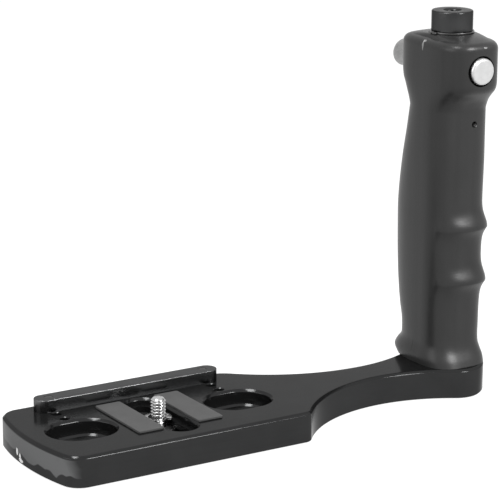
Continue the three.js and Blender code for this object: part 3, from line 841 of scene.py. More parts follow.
@dataclass(frozen=True)
class Anodised(Finish):
    """Black anodised aluminium over a brushed grain that runs along X."""

    level: float = 0.03
    roughness: float = 0.14
    grain_along: float = 45.0
    grain_across: float = 2200.0
    tint: float = 0.485
    metallic: float = 0.8
    shine: float = 0.3
    cloud_scale: float = 70.0
    speck_scale: float = 900.0
    speck_levels: Point = (0.74, 0.80)
    dye_weights: tuple[float, ...] = (0.35, 0.5, 0.2)  # of grain, cloud and specks
    dye_range: Point = (0.7, 1.35)
    dye_warmth: float = -0.01
    rough_weights: Point = (0.08, 0.06)  # of grain and cloud
    chips: tuple[Mark, ...] = ()
    # The fields from here to the edge's width set a painted reflection: a lighter band on the free end above
    # a wavy line.
    worn_from: float | None = None
    worn_above: float = 4.0
    worn_below: float = 11.3
    worn_share: float = 4.5
    wave_scale: float = 110.0
    worn_wave: float = 4 * MM
    worn_fade: float = 5 * MM
    worn_edge: float = 0.3 * MM
    bare_level: float = 0.8
    grain_relief: float = 0.00002

    def worn(self, graph: Graph) -> Number | float:
        """A lighter band painted on the free end above a wavy line: a painted reflection of the lit floor,
        not wear.

        Args:
            graph: A fresh graph.

        Returns:
            What the painted reflection adds to the share of the lighter dye.
        """
        if self.worn_from is None:
            return 0.0
        parts = graph.node("ShaderNodeSeparateXYZ", Vector=graph.places())
        start_x, _, start_z = tray_point(self.worn_from, 0, self.worn_above)
        _, _, end_z = tray_point(0, 0, self.worn_below)
        wave = graph.noise(evenly(self.wave_scale), 1.5) * (2 * self.worn_wave) - self.worn_wave
        beside = graph.ramp(Number(graph, parts.outputs[0]) + wave, start_x, start_x - self.worn_fade)
        above = graph.ramp(Number(graph, parts.outputs[2]) + wave, start_z, start_z + self.worn_edge)
        below = graph.ramp(Number(graph, parts.outputs[2]), end_z, end_z - self.worn_edge)
        return beside * above * below * self.worn_share

    def made(self, graph: Graph) -> Graph:
        """Fills the graph: grain, cloudy dye, a few specks, a painted reflection on the free end and chips.

        Args:
            graph: A fresh graph.

        Returns:
            The same graph.
        """
        grain = graph.noise((self.grain_along, self.grain_across, self.grain_across), 3.0)
        cloud = graph.noise(evenly(self.cloud_scale), 3.0)
        speck = graph.ramp(graph.noise(evenly(self.speck_scale), 1.0), *self.speck_levels)
        # The painted reflection lightens the dye on the free end.
        share = weighed((grain, cloud, speck), self.dye_weights) + self.worn(graph)
        bare = graph.marked(self.chips)
        graph.say(
            Base_Color=graph.mixed(bare, self.dyed(graph, share), grey(self.bare_level)),
            Metallic=bare * -self.metallic + self.metallic,
            Roughness=self.roughened((grain, cloud), self.rough_weights),
            Specular_IOR_Level=self.shine,
            Specular_Tint=grey(self.tint),
        )
        graph.relief(grain, self.grain_relief)
        return graph


@dataclass(frozen=True)
class Moulded(Finish):
    """Black moulded plastic: a fine skin, faint flow streaks, handling marks and a few painted highlights."""

    level: float = 0.02
    roughness: float = 0.34
    shine: float = 0.25
    skin_scale: float = 1500.0
    cloud_scale: tuple[float, float, float] = (120.0, 120.0, 60.0)
    streak_scale: tuple[float, float, float] = (260.0, 260.0, 9.0)
    dye_weights: tuple[float, ...] = (0.4, 0.45, 0.15)  # of cloud, streak and skin
    dye_range: Point = (0.6, 1.4)
    rough_weights: Point = (0.16, 0.08)  # of cloud and skin
    relief_weights: tuple[float, ...] = (0.5, 0.5, 0.3)  # of skin, cloud and streak
    seam_ragged: float = 0.1
    # Light marks: real scratches, and painted highlights where the head's edge and a hole's rim catch the
    # light.
    scratches: tuple[Mark, ...] = ()
    seams: tuple[Mark, ...] = ()
    seam_level: float = 0.004
    scratch_level: float = 0.2
    skin_relief: float = 0.00006

    def made(self, graph: Graph) -> Graph:
        """Fills the graph.

        Args:
            graph: A fresh graph.

        Returns:
            The same graph.
        """
        skin = graph.noise(evenly(self.skin_scale), 3.0)
        cloud = graph.noise(self.cloud_scale, 4.0)
        streak = graph.noise(self.streak_scale, 2.0)
        plain = self.dyed(graph, weighed((cloud, streak, skin), self.dye_weights))
        seamed = graph.mixed(graph.marked(self.seams, self.seam_ragged), plain, grey(self.seam_level))
        graph.say(
            # The light marks lay real scratches and painted highlights over the plastic.
            Base_Color=graph.mixed(graph.marked(self.scratches), seamed, grey(self.scratch_level)),
            Roughness=self.roughened((cloud, skin), self.rough_weights),
            Specular_IOR_Level=self.shine,
        )
        graph.relief(weighed((skin, cloud, streak), self.relief_weights), self.skin_relief)
        return graph


@dataclass(frozen=True)
class Rubber(Finish):
    """Matte grey rubber with a fine tooth."""

    level: float = 0.058
    roughness: float = 0.78
    shine: float = 0.25
    tooth_scale: float = 2600.0
    cloud_scale: float = 150.0
    dye_weights: Point = (0.4, 0.6)  # of tooth and cloud
    dye_range: Point = (0.75, 1.3)
    rough_weight: float = 0.1
    tooth_relief: float = 0.00005

    def made(self, graph: Graph) -> Graph:
        """Fills the graph.

        Args:
            graph: A fresh graph.

        Returns:
            The same graph.
        """
        tooth = graph.noise(evenly(self.tooth_scale), 2.0)
        cloud = graph.noise(evenly(self.cloud_scale), 3.0)
        graph.say(
            Base_Color=self.dyed(graph, weighed((tooth, cloud), self.dye_weights)),
            Roughness=self.roughened((tooth,), (self.rough_weight,)),
            Specular_IOR_Level=self.shine,
        )
        graph.relief(tooth, self.tooth_relief)
        return graph


@dataclass(frozen=True)
class Plated(Finish):
    """Plated metal, from bright to dull, with light handling marks."""

    level: float = 0.7
    roughness: float = 0.2
    warmth: float = 0.0
    marks: float = 0.12
    cloud_scale: float = 400.0
    fine_scale: float = 2400.0
    dye_weights: Point = (0.6, 0.4)  # of cloud and fine marks
    rough_weight: float = 0.14
    fine_relief: float = 0.00001

    def made(self, graph: Graph) -> Graph:
        """Fills the graph.

        Args:
            graph: A fresh graph.

        Returns:
            The same graph.
        """
        cloud = graph.noise(evenly(self.cloud_scale), 3.0)
        fine = graph.noise(evenly(self.fine_scale), 2.0)
        dark = grey(self.level * (1 - 2 * self.marks), self.warmth)
        light = grey(self.level * (1 + self.marks), self.warmth)
        graph.say(
            Base_Color=graph.mixed(weighed((cloud, fine), self.dye_weights), dark, light),
            Metallic=1.0,
            Roughness=self.roughened((cloud,), (self.rough_weight,)),
        )
        graph.relief(fine, self.fine_relief)
        return graph


@dataclass(frozen=True)
class TurnedFace(Finish):
    """Pale plated metal with the faint rings that a lathe leaves about an axis along Y."""

    level: float = 0.52
    roughness: float = 0.3
    centre: tuple[float, float, float] = (0.0, 0.0, 0.0)
    metallic: float = 0.75
    ring_pitch: float = 0.00035
    cloud_scale: float = 500.0
    rough_weights: Point = (0.1, 0.03)  # of cloud and rings
    relief_weights: Point = (0.5, 0.5)  # of rings and cloud
    ring_relief: float = 0.000008

    def made(self, graph: Graph) -> Graph:
        """Fills the graph.

        Args:
            graph: A fresh graph.

        Returns:
            The same graph.
        """
        flat = graph.places((1.0, 0.0, 1.0), Vector(self.centre))
        rings = graph.math("SINE", graph.length(flat) * (TURN / self.ring_pitch))
        cloud = graph.noise(evenly(self.cloud_scale), 3.0)
        graph.say(
            Base_Color=self.dyed(graph, cloud),
            Metallic=self.metallic,
            Roughness=weighed((cloud, rings), self.rough_weights) + self.roughness,
        )
        graph.relief(weighed((rings, cloud), self.relief_weights), self.ring_relief)
        return graph


def tray_point(x: float, y: float, z: float) -> tuple[float, float, float]:
    """A point of the tray's millimetres in the frame's metres."""
    return tuple(np.array((x, y, z)) * MM + origin())


def across(x: float, y: float, z: float) -> Matrix:
    """Brings a form from Z to Y, to a point of the tray's millimetres."""
    return Matrix.Translation((x, y, z)) @ Matrix.Rotation(-QUARTER, 4, "X")


BLACK_ANODISED = Anodised("black_anodised")
RAIL_ANODISED = Anodised("black_anodised", variant="_rail", level=0.12, roughness=0.24, metallic=1.0)
# The plate's free end carries the painted reflection band from x = -50.5 outwards; the chips are real wear.
PLATE_ANODISED = Anodised(
    "black_anodised", variant="_plate", worn_from=-50.5,
    chips=(
        Mark((-58.9, 40.3, 4.2), (1.5, 1.0, 1.6)), Mark((-58.9, 37.6, 3.1), (1.5, 0.9, 1.3)),
        Mark((-59.0, 36.6, 1.5), (1.5, 2.0, 0.8)),
    ),
)
POST_ANODISED = Anodised(
    "post_anodised", level=0.05, roughness=0.22, grain_along=300.0, grain_across=300.0, metallic=1.0,
)
GRIP_MOULDED = Moulded(
    "grip_moulded",
    # The first two marks are a real scratch on the head's left side; the third is a painted highlight of
    # specular dots on the head's front top edge, and the fourth a painted highlight crescent at the rim of
    # the set screw's hole.
    scratches=(
        Mark((129.0, 33.9, 150.6), (2.0, 0.6, 2.2)), Mark((129.0, 33.5, 152.4), (2.0, 1.0, 0.5)),
        Mark((144.1, 11.4, 151.4), (0.9, 1.0, 0.35)), Mark((146.7, 19.6, 117.3), (0.4, 2.0, 0.9)),
    ),
    seams=(Mark((128.5, 36.6, 19.6), (2.5, 0.22, 4.0)),),
)
PAD_RUBBER = Rubber("pad_rubber")
BRIGHT_STEEL = Plated("bright_steel", level=0.48, roughness=0.2)
DULL_STEEL = Plated("dull_steel", level=0.45, roughness=0.28)
DARK_RING = Plated("dull_steel", variant="_ring", level=0.1, roughness=0.35)
BLACK_STEEL = Plated("black_steel", level=0.03, roughness=0.4)
BUSH_BLACK = Rubber("bush_black", level=0.003, roughness=0.6, shine=0.0)
SOCKET_BRASS = Plated("socket_brass", level=0.4, roughness=0.3, warmth=0.35)
COLLAR_GREY = Plated("collar_grey", level=0.39, roughness=0.38, marks=0.25)


@dataclass(frozen=True)
class SocketScrew:
    """A screw that points up, with a six-sided socket in its head."""

    head: float
    shank: float
    socket_share: float
    easing: float
    steps: int = 64

    def build(self, name: str, node: str, place: np.ndarray, heights: tuple[float, float, float]) -> None:
        """Makes the screw.

        Args:
            name: The piece's name.
            node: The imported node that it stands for.
            place: Where its axis stands, seen from above.
            heights: Those of its lower end, of its head's seat and of its upper end.
        """
        low, seat, high = heights
        body = make(name, lathe(eased([
            (0, low), (self.head, low), (self.head, seat), (self.shank, seat), (self.shank, high), (0, high),
        ], self.easing), steps=self.steps).moved(*place))
        socket = prism(circle(self.head * self.socket_share, 6), low - BEYOND, (low + seat) / 2)
        carved(body, [socket.moved(*place)])
        finished(body, BLACK_STEEL, "tray", [node])


# The tray


@dataclass
class TrayPlate:
    """The plate with its neck and foot, its slot, pockets and holes."""

    width: float = 65.0
    end_radius: float = 112.0
    corner_radius: float = 8.5
    top_chamfer: float = 1.0
    under_chamfer: float = 0.4
    shoulder_radius: float = 4.0
    scoop_radius: float = 63.5
    rear_shoulder_radius: float = 17.0
    rear_scoop_radius: float = 75.0
    neck_width: float = 17.0
    foot_width: float = 39.6
    foot_corner_share: float = 0.6
    slot_width: float = 8.0
    slot_front: float = 13.3
    slot_rear: float = 44.5
    recess_width: float = 13.4
    recess_depth: float = 2.8
    channel_width: float = 22.0
    channel_depth: float = 7.5
    pocket_offset: float = 36.0
    pocket_centre: float = 29.0
    pocket_length: float = 28.3
    pocket_width: float = 22.6
    pocket_depth: float = 5.4
    pocket_ledge: float = 3.0
    rim_chamfer: float = 1.0
    ledge_chamfer: float = 0.8
    hole_radius: float = 2.0
    hole_chamfer: float = 0.35
    hole_pitch: float = 6.7
    hole_rows: int = 3
    groove_width: float = 7.0
    groove_depth: float = 3.4
    bolt_hole_radius: float = 4.25
    counterbore_radius: float = 8.3
    counterbore_depth: float = 6.2
    edge: float = 0.16

    def __post_init__(self) -> None:
        """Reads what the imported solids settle."""
        plate, post, rail = Extent.of("tray_plate"), Extent.of("handle_post"), Extent.of("backstop_rail")
        screw = Extent.of("rail_screw_right")
        self.top = plate.size[2]
        self.reach, self.tip = -plate.low[0], plate.high[0]
        self.handle = post.centre
        self.post_radius = post.size[0] / 2
        self.post_foot = post.low[2]
        self.rail_centre = rail.centre[1]
        self.screw_offset = screw.centre[0]

    def half_outline(self, inset: float, shoulder_round: float, hollow: float) -> np.ndarray:
        """Half of the plate's edge about its middle line, from the free end's tip to the foot's end.

        Args:
            inset: How far the line lies inside the edge.
            shoulder_round: The radius where the straight edge turns into the neck.
            hollow: The radius of the hollow on the tray's side of the neck.

        Returns:
            As many points for every inset.
        """
        half, foot_half = self.width / 2, self.foot_width / 2
        foot_corner = foot_half * self.foot_corner_share
        end_x = self.end_radius - self.reach
        corner_y = self.corner_radius - half
        corner_x = end_x - math.sqrt((self.end_radius - self.corner_radius) ** 2 - corner_y**2)
        foot_x, foot_y = self.handle[0], foot_corner - foot_half
        scoop_y = -(self.neck_width / 2 + self.scoop_radius)
        scoop_x = foot_x - math.sqrt((self.scoop_radius + foot_corner) ** 2 - (foot_y - scoop_y) ** 2)
        bend_y = -(self.neck_width / 2 + hollow)
        shoulder_y = shoulder_round - half
        shoulder_x = scoop_x - math.sqrt((hollow + shoulder_round) ** 2 - (shoulder_y - bend_y) ** 2)
        foot_reach = self.tip - foot_x
        tip_radius = (foot_corner**2 - foot_reach**2 - foot_y**2) / (2 * (foot_corner - foot_reach))
        tip_x = self.tip - tip_radius
        end_turn = math.atan2(corner_y, corner_x - end_x)
        shoulder_turn = math.atan2(bend_y - shoulder_y, scoop_x - shoulder_x)
        foot_turn = math.atan2(foot_y - scoop_y, foot_x - scoop_x)
        tip_turn = math.atan2(foot_y, foot_x - tip_x)
        return np.vstack((
            arc(end_x, 0, self.end_radius - inset, -math.pi, end_turn),
            arc(corner_x, corner_y, self.corner_radius - inset, end_turn, -QUARTER)[1:],
            arc(shoulder_x, shoulder_y, shoulder_round - inset, -QUARTER, shoulder_turn),
            arc(scoop_x, bend_y, hollow + inset, shoulder_turn + math.pi, QUARTER)[1:],
            arc(scoop_x, scoop_y, self.scoop_radius + inset, QUARTER, foot_turn)[1:],
            arc(foot_x, foot_y, foot_corner - inset, foot_turn - math.pi, tip_turn)[1:],
            arc(tip_x, 0, tip_radius - inset, tip_turn, 0)[1:],
        ))

    def outline(self, inset: float) -> np.ndarray:
        """The plate's whole edge, counterclockwise, at an inset.

        Args:
            inset: How far it lies inside the edge.

        Returns:
            The outline's points.
        """
        front = self.half_outline(inset, self.shoulder_radius, self.scoop_radius)
        rear = self.half_outline(inset, self.rear_shoulder_radius, self.rear_scoop_radius)
        mirrored = rear[1:-1][::-1] * (1, -1)
        return np.vstack((front, mirrored)) + (0, self.width / 2)

    def sunk(self, outline_of: Any, radius: float, low: float, chamfer: float) -> Shell:
        """A cut that opens at the plate's top with an eased chamfer.

        Args:
            outline_of: Gives the cut's outline for an end radius.
            radius: The cut's own end radius.
            low: Its lowest height.
            chamfer: The width of the rim's chamfer.

        Returns:
            The cutter.
        """
        flare = self.edge * 1.5
        wall = [
            (radius, low), (radius, self.top - chamfer), (radius + chamfer, self.top + self.edge / 4),
            (radius + chamfer + flare, self.top + self.edge / 2),
        ]
        profile = eased(wall, self.edge) + [(radius + chamfer + flare, self.top + BEYOND)]
        return loft([(outline_of(r), z) for r, z in profile])

    def slot_cuts(self) -> list[Shell]:
        """The slot, its recess above and the knob's channel below.

        Returns:
            The cutters.
        """
        half, middle = (self.slot_rear - self.slot_front) / 2, (self.slot_rear + self.slot_front) / 2

        def outline_of(radius: float) -> np.ndarray:
            """The slot's outline, along Y."""
            return stadium(half, radius)[:, ::-1] * (-1, 1) + (0, middle)

        floor = self.top - self.recess_depth
        return [
            self.sunk(outline_of, self.recess_width / 2, floor, self.rim_chamfer),
            prism(outline_of(self.slot_width / 2), -BEYOND, floor + BEYOND),
            prism(outline_of(self.channel_width / 2), -BEYOND, self.channel_depth),
        ]

    def side_cuts(self, side: Side) -> list[Shell]:
        """A pocket with its ledge, the rail's three holes and the groove for their screws.

        Args:
            side: The side of the slot.

        Returns:
            The cutters.
        """
        half = (self.pocket_length - self.pocket_width) / 2
        pocket_x, screw_x = side.value * self.pocket_offset, side.value * self.screw_offset

        def outline_of(radius: float) -> np.ndarray:
            """The pocket's outline."""
            return stadium(half, radius) + (pocket_x, self.pocket_centre)

        ledge = self.top - self.pocket_depth
        through = self.pocket_width / 2 - self.pocket_ledge
        rows = self.hole_pitch * (self.hole_rows - 1)
        groove = stadium(rows / 2, self.groove_width / 2)[:, ::-1] * (-1, 1)
        lip = self.hole_chamfer
        hole = lathe([
            (0, -BEYOND), (self.hole_radius, -BEYOND), (self.hole_radius, self.top - lip),
            (self.hole_radius + lip, self.top), (self.hole_radius + lip, self.top + BEYOND),
            (0, self.top + BEYOND),
        ], steps=32)
        return [
            self.sunk(outline_of, self.pocket_width / 2, ledge, self.rim_chamfer),
            loft([
                (outline_of(through), -BEYOND), (outline_of(through), ledge - self.ledge_chamfer),
                (outline_of(through + self.ledge_chamfer), ledge),
                (outline_of(through + self.ledge_chamfer), ledge + BEYOND),
            ]),
            prism(groove + (screw_x, self.rail_centre - rows / 2), -BEYOND, self.groove_depth),
            *(hole.moved(screw_x, self.rail_centre - self.hole_pitch * row) for row in range(self.hole_rows)),
        ]

    def build(self) -> None:
        """Makes the plate."""
        rim = eased([
            (self.under_chamfer + FLAT, 0), (self.under_chamfer, 0), (0, self.under_chamfer),
            (0, self.top - self.top_chamfer), (self.top_chamfer, self.top),
            (self.top_chamfer + FLAT, self.top),
        ], self.edge)
        plate = make("plate_body", loft([(self.outline(inset), z) for inset, z in rim]))
        x, y, _ = self.handle
        below, above = -BEYOND, self.top + BEYOND
        carved(plate, [
            *self.slot_cuts(),
            *self.side_cuts(Side.LEFT),
            *self.side_cuts(Side.RIGHT),
            rod(self.counterbore_radius, below, self.counterbore_depth).moved(x, y),
            rod(self.bolt_hole_radius, below, above).moved(x, y),
            rod(self.post_radius + CLEARANCE, self.post_foot, above).moved(x, y),
        ])
        finished(plate, PLATE_ANODISED, "tray", ["tray_plate"])


@dataclass
class BackstopRail:
    """The rail along the rear edge, with the two screws that hold it from below."""

    edge: float = 0.15
    screw: SocketScrew = SocketScrew(head=2.9, shank=1.75, socket_share=0.62, easing=0.12, steps=48)
    head_height: float = 2.2
    gap: float = 0.06
    rim_easing: float = 0.08

    def __post_init__(self) -> None:
        """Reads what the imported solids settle."""
        self.rail = Extent.of("backstop_rail")
        self.screws = {node: Extent.of(node) for node in ("rail_screw_left", "rail_screw_right")}

    def build(self) -> None:
        """Makes the rail and its screws."""
        length, thickness, height = self.rail.size
        radius = thickness / 2
        rim = [(FLAT, 0), (0, 0), (0, height - self.edge), (self.edge, height), (self.edge + FLAT, height)]
        outlines = [
            (stadium((length - thickness) / 2, radius - inset), z) for inset, z in eased(rim, self.rim_easing)
        ]
        body = make("rail_body", loft(outlines).moved(*self.rail.centre[:2], self.rail.low[2]))
        reach = self.rail.low[2] - BEYOND, self.rail.high[2] + BEYOND
        hole = rod(self.screw.shank + self.gap, *reach, steps=48)
        carved(body, [hole.moved(*screw.centre[:2]) for screw in self.screws.values()])
        finished(body, RAIL_ANODISED, "tray", ["backstop_rail"])
        for node, screw in self.screws.items():
            heights = (screw.low[2], screw.low[2] + self.head_height, self.rail.high[2] - self.gap)
            self.screw.build(f"{node}_body", node, screw.centre[:2], heights)


@dataclass
class Pads:
    """The two rubber pads that the camera rests on."""

    corner: float = 0.8
    edge: float = 0.18

    def build(self) -> None:
        """Makes both pads."""
        for name in ("pad_left", "pad_right"):
            pad = Extent.of(name)
            length, depth, height = pad.size
            rim = eased([
                (FLAT / 2, 0), (0, 0), (0, height - self.edge), (self.edge, height),
                (self.edge + FLAT / 2, height),
            ], self.edge / 2)
            shell = loft([
                (rounded_rectangle(length / 2 - inset, depth / 2 - inset, self.corner - inset), z)
                for inset, z in rim
            ])
            piece = make(f"{name}_body", shell.moved(*pad.centre[:2], pad.low[2]))
            finished(piece, PAD_RUBBER, "tray", [name])


# The camera screw


@dataclass
class CameraScrew:
    """The threaded screw with its clip, washer and knob."""

    pitch: float = 1.27
    depth: float = 0.68
    tip_chamfer: float = 0.95
    row_height: float = 0.07
    flank_slope: float = 2.6
    root_share: float = 0.15
    groove_room: float = 0.1
    clip_easing: float = 0.12
    steps: int = 72
    clip_mouth: float = math.pi / 5
    clip_window: float = 1.3
    clip_neck: float = 2.8
    lug_shares: tuple[float, ...] = (0.0, 0.16, 0.44, 0.56, 0.84, 1.0)
    knob_ribs: int = 60
    coin_slot: float = 1.8
    coin_slot_depth: float = 0.8
    bore: float = 3.4
    knob_floor: float = 1.4
    knob_edges: Point = (0.8, 0.6)
    knob_easing: float = 0.15
    knob_rib_width: float = 0.42
    knob_rib_inset: float = 0.35
    knob_rib_margins: Point = (1.0, 0.8)

    def __post_init__(self) -> None:
        """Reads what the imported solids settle."""
        self.screw, self.clip = Extent.of("camera_screw"), Extent.of("camera_screw_clip")
        self.knob = Extent.of("camera_screw_knob")
        self.radius = self.screw.size[0] / 2
        self.place = self.screw.centre[:2]

    def thread(self) -> Shell:
        """The screw's body: a helical groove that runs out below the clip and at the chamfered tip.

        Returns:
            The shell, about its own axis.
        """
        low, high = self.screw.low[2], self.screw.high[2]
        heights = np.append(np.arange(low, high, self.row_height), high)
        angles = np.linspace(0, TURN, self.steps, endpoint=False)
        z, turn = np.meshgrid(heights, angles, indexing="ij")
        phase = np.mod(z / self.pitch - turn / TURN, 1.0)
        wave = np.clip(np.abs(phase - 0.5) * self.flank_slope - self.root_share, 0, 1)
        runout = np.clip((z - self.clip.low[2] + self.pitch) / self.pitch, 0, 1)
        radii = self.radius - self.depth * (1 - wave) * runout
        neck = (z > self.clip.low[2] - self.groove_room) & (z < self.clip.high[2] + self.groove_room)
        radii = np.where(neck, np.minimum(radii, self.clip_neck - CLEARANCE), radii)
        radii = np.minimum(radii, self.radius - self.tip_chamfer + (high - z))
        outlines = np.stack((radii * np.cos(turn), radii * np.sin(turn)), -1)
        return loft(list(zip(outlines, heights)))

    def clip_outline(self) -> np.ndarray:
        """The clip seen from above: an open ring whose three lugs hold the screw's groove.

        Returns:
            The outline's points.
        """
        outer = self.clip.size[0] / 2
        around = TURN - 2 * self.clip_mouth
        turns = [self.clip_mouth + share * around for share in self.lug_shares]
        inner = [
            arc(0, 0, self.clip_neck + (self.clip_window if i % 2 else 0), start, end, 10)
            for i, (start, end) in enumerate(zip(turns, turns[1:]))
        ]
        outline = np.vstack((arc(0, 0, outer, turns[0], turns[-1], 60), np.vstack(inner)[::-1]))
        return np.column_stack((outline[:, 1], -outline[:, 0]))

    def build(self) -> None:
        """Makes the screw, the clip and the knob, and dresses the washer."""
        screw = make("screw_threaded", self.thread().moved(*self.place))
        finished(screw, BRIGHT_STEEL, "camera_screw", ["camera_screw"], crease=50)
        low, high = self.clip.low[2], self.clip.high[2]
        clip = make("screw_clip_body", prism(self.clip_outline(), low, high).moved(*self.place))
        finished(bevelled(clip, self.clip_easing), DULL_STEEL, "camera_screw", ["camera_screw_clip"])
        self.build_knob()
        dressed("camera_screw_washer", DULL_STEEL)

    def build_knob(self) -> None:
        """Makes the knob with its knurled rim and the slot for a coin."""
        low, high = self.knob.low[2], self.knob.high[2]
        radius = self.knob.size[0] / 2 - self.knob_rib_inset
        bore_floor = low + self.knob_floor
        under, over = self.knob_edges
        body = make("knob_body", lathe(eased([
            (0, low), (radius - under, low), (radius, low + under), (radius, high - over),
            (radius - over, high), (self.bore, high), (self.bore, bore_floor), (0, bore_floor),
        ], self.knob_easing)).moved(*self.place))
        coin = rounded_rectangle(radius + BEYOND, self.coin_slot / 2, self.coin_slot / 2.01)
        carved(body, [prism(coin, low - BEYOND, low + self.coin_slot_depth).moved(*self.place)])
        finished(body, BLACK_ANODISED, "camera_screw", ["camera_screw_knob"])
        rib_low, rib_high = low + self.knob_rib_margins[0], high - self.knob_rib_margins[1]
        ribs = rib_ring().run(
            "knob_knurl", Matrix.Translation((*self.place, (rib_low + rib_high) / 2)),
            Count=self.knob_ribs, Radius=radius, Length=rib_high - rib_low,
            Width=self.knob_rib_width, Material=BLACK_ANODISED.material(),
        )
        tied(ribs, "camera_screw")


# The handle


@dataclass
class HandlePost:
    """The post, the bolt that holds it from below and the snap ring on it."""

    hole_radius: float = 3.2
    hole_depth: float = 12.0
    bolt_hole: float = 4.25
    bolt_depth: float = 16.0
    thread_room: float = 0.3
    groove_depth: float = 0.7
    ring_lug: float = 2.0
    ring_gap: float = 0.6
    bolt_socket_share: float = 0.55
    top_chamfer: float = 0.35
    hole_chamfer: float = 0.7
    easing: float = 0.12
    ring_easing: float = 0.1
    bolt_easing: float = 0.25

    def __post_init__(self) -> None:
        """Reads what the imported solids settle."""
        self.post, self.ring = Extent.of("handle_post"), Extent.of("grip_snap_ring")
        self.bolt, self.rod = Extent.of("handle_bolt"), Extent.of("push_rod")
        self.radius = self.post.size[0] / 2
        self.place = self.post.centre[:2]

    def post_profile(self) -> list[Point]:
        """The post's profile, with its two holes and the ring's groove.

        Returns:
            Radius and height of each point, about the piece's own axis.
        """
        low, high = self.post.low[2], self.post.high[2]
        groove_low, groove_high = self.ring.low[2] - CLEARANCE / 2, self.ring.high[2] + CLEARANCE / 2
        bolt_top, hole_floor = low + self.bolt_depth, high - self.hole_depth
        neck = self.radius - self.groove_depth
        return eased([
            (0, bolt_top), (self.bolt_hole, bolt_top), (self.bolt_hole, low), (self.radius, low),
            (self.radius, groove_low), (neck, groove_low), (neck, groove_high), (self.radius, groove_high),
            (self.radius, high - self.top_chamfer), (self.radius - self.top_chamfer, high),
            (self.hole_radius + self.hole_chamfer, high), (self.hole_radius, high - self.hole_chamfer),
            (self.hole_radius, hole_floor), (0, hole_floor),
        ], self.easing)

    def ring_outline(self) -> np.ndarray:
        """The snap ring seen from above: an open ring whose two lugs face the tray.

        Returns:
            The outline's points.
        """
        outer = self.ring.size[1] / 2
        inner = self.radius - self.groove_depth + CLEARANCE
        reach = self.ring.size[0] - outer
        gap_turn = self.ring_gap / 2 / outer
        lug_turn = gap_turn + self.ring_lug / outer
        outline = np.vstack((
            arc(0, 0, outer, lug_turn, TURN - lug_turn, 96),
            arc(0, 0, reach, TURN - lug_turn, TURN - gap_turn, 6),
            arc(0, 0, inner, TURN - gap_turn, gap_turn, 96),
            arc(0, 0, reach, gap_turn, lug_turn, 6),
        ))
        return -outline

    def build(self) -> None:
        """Makes the post, the ring and the bolt, and dresses the washer and the dowels."""
        body = make("post_body", lathe(self.post_profile(), steps=128).moved(*self.place))
        reach = self.radius + BEYOND
        hole = rod(ROD_HOLE, -reach, reach).along(Axis.Y).moved(*self.place, self.rod.centre[2])
        carved(body, [hole])
        finished(body, POST_ANODISED, "tray", ["handle_post"])
        ring = prism(self.ring_outline(), self.ring.low[2], self.ring.high[2]).moved(*self.place)
        ring_body = bevelled(make("snap_ring_body", ring), self.ring_easing)
        finished(ring_body, DARK_RING, "tray", ["grip_snap_ring"])
        self.build_bolt()
        for node in ("handle_bolt_washer", "grip_dowel_left", "grip_dowel_right"):
            dressed(node, DULL_STEEL)

    def build_bolt(self) -> None:
        """Makes the bolt with the socket in its head."""
        shank = self.bolt_hole - self.thread_room
        bolt = SocketScrew(self.bolt.size[0] / 2, shank, self.bolt_socket_share, self.bolt_easing)
        heights = (self.bolt.low[2], Extent.of("handle_bolt_washer").low[2], self.bolt.high[2])
        bolt.build("bolt_body", "handle_bolt", self.place, heights)


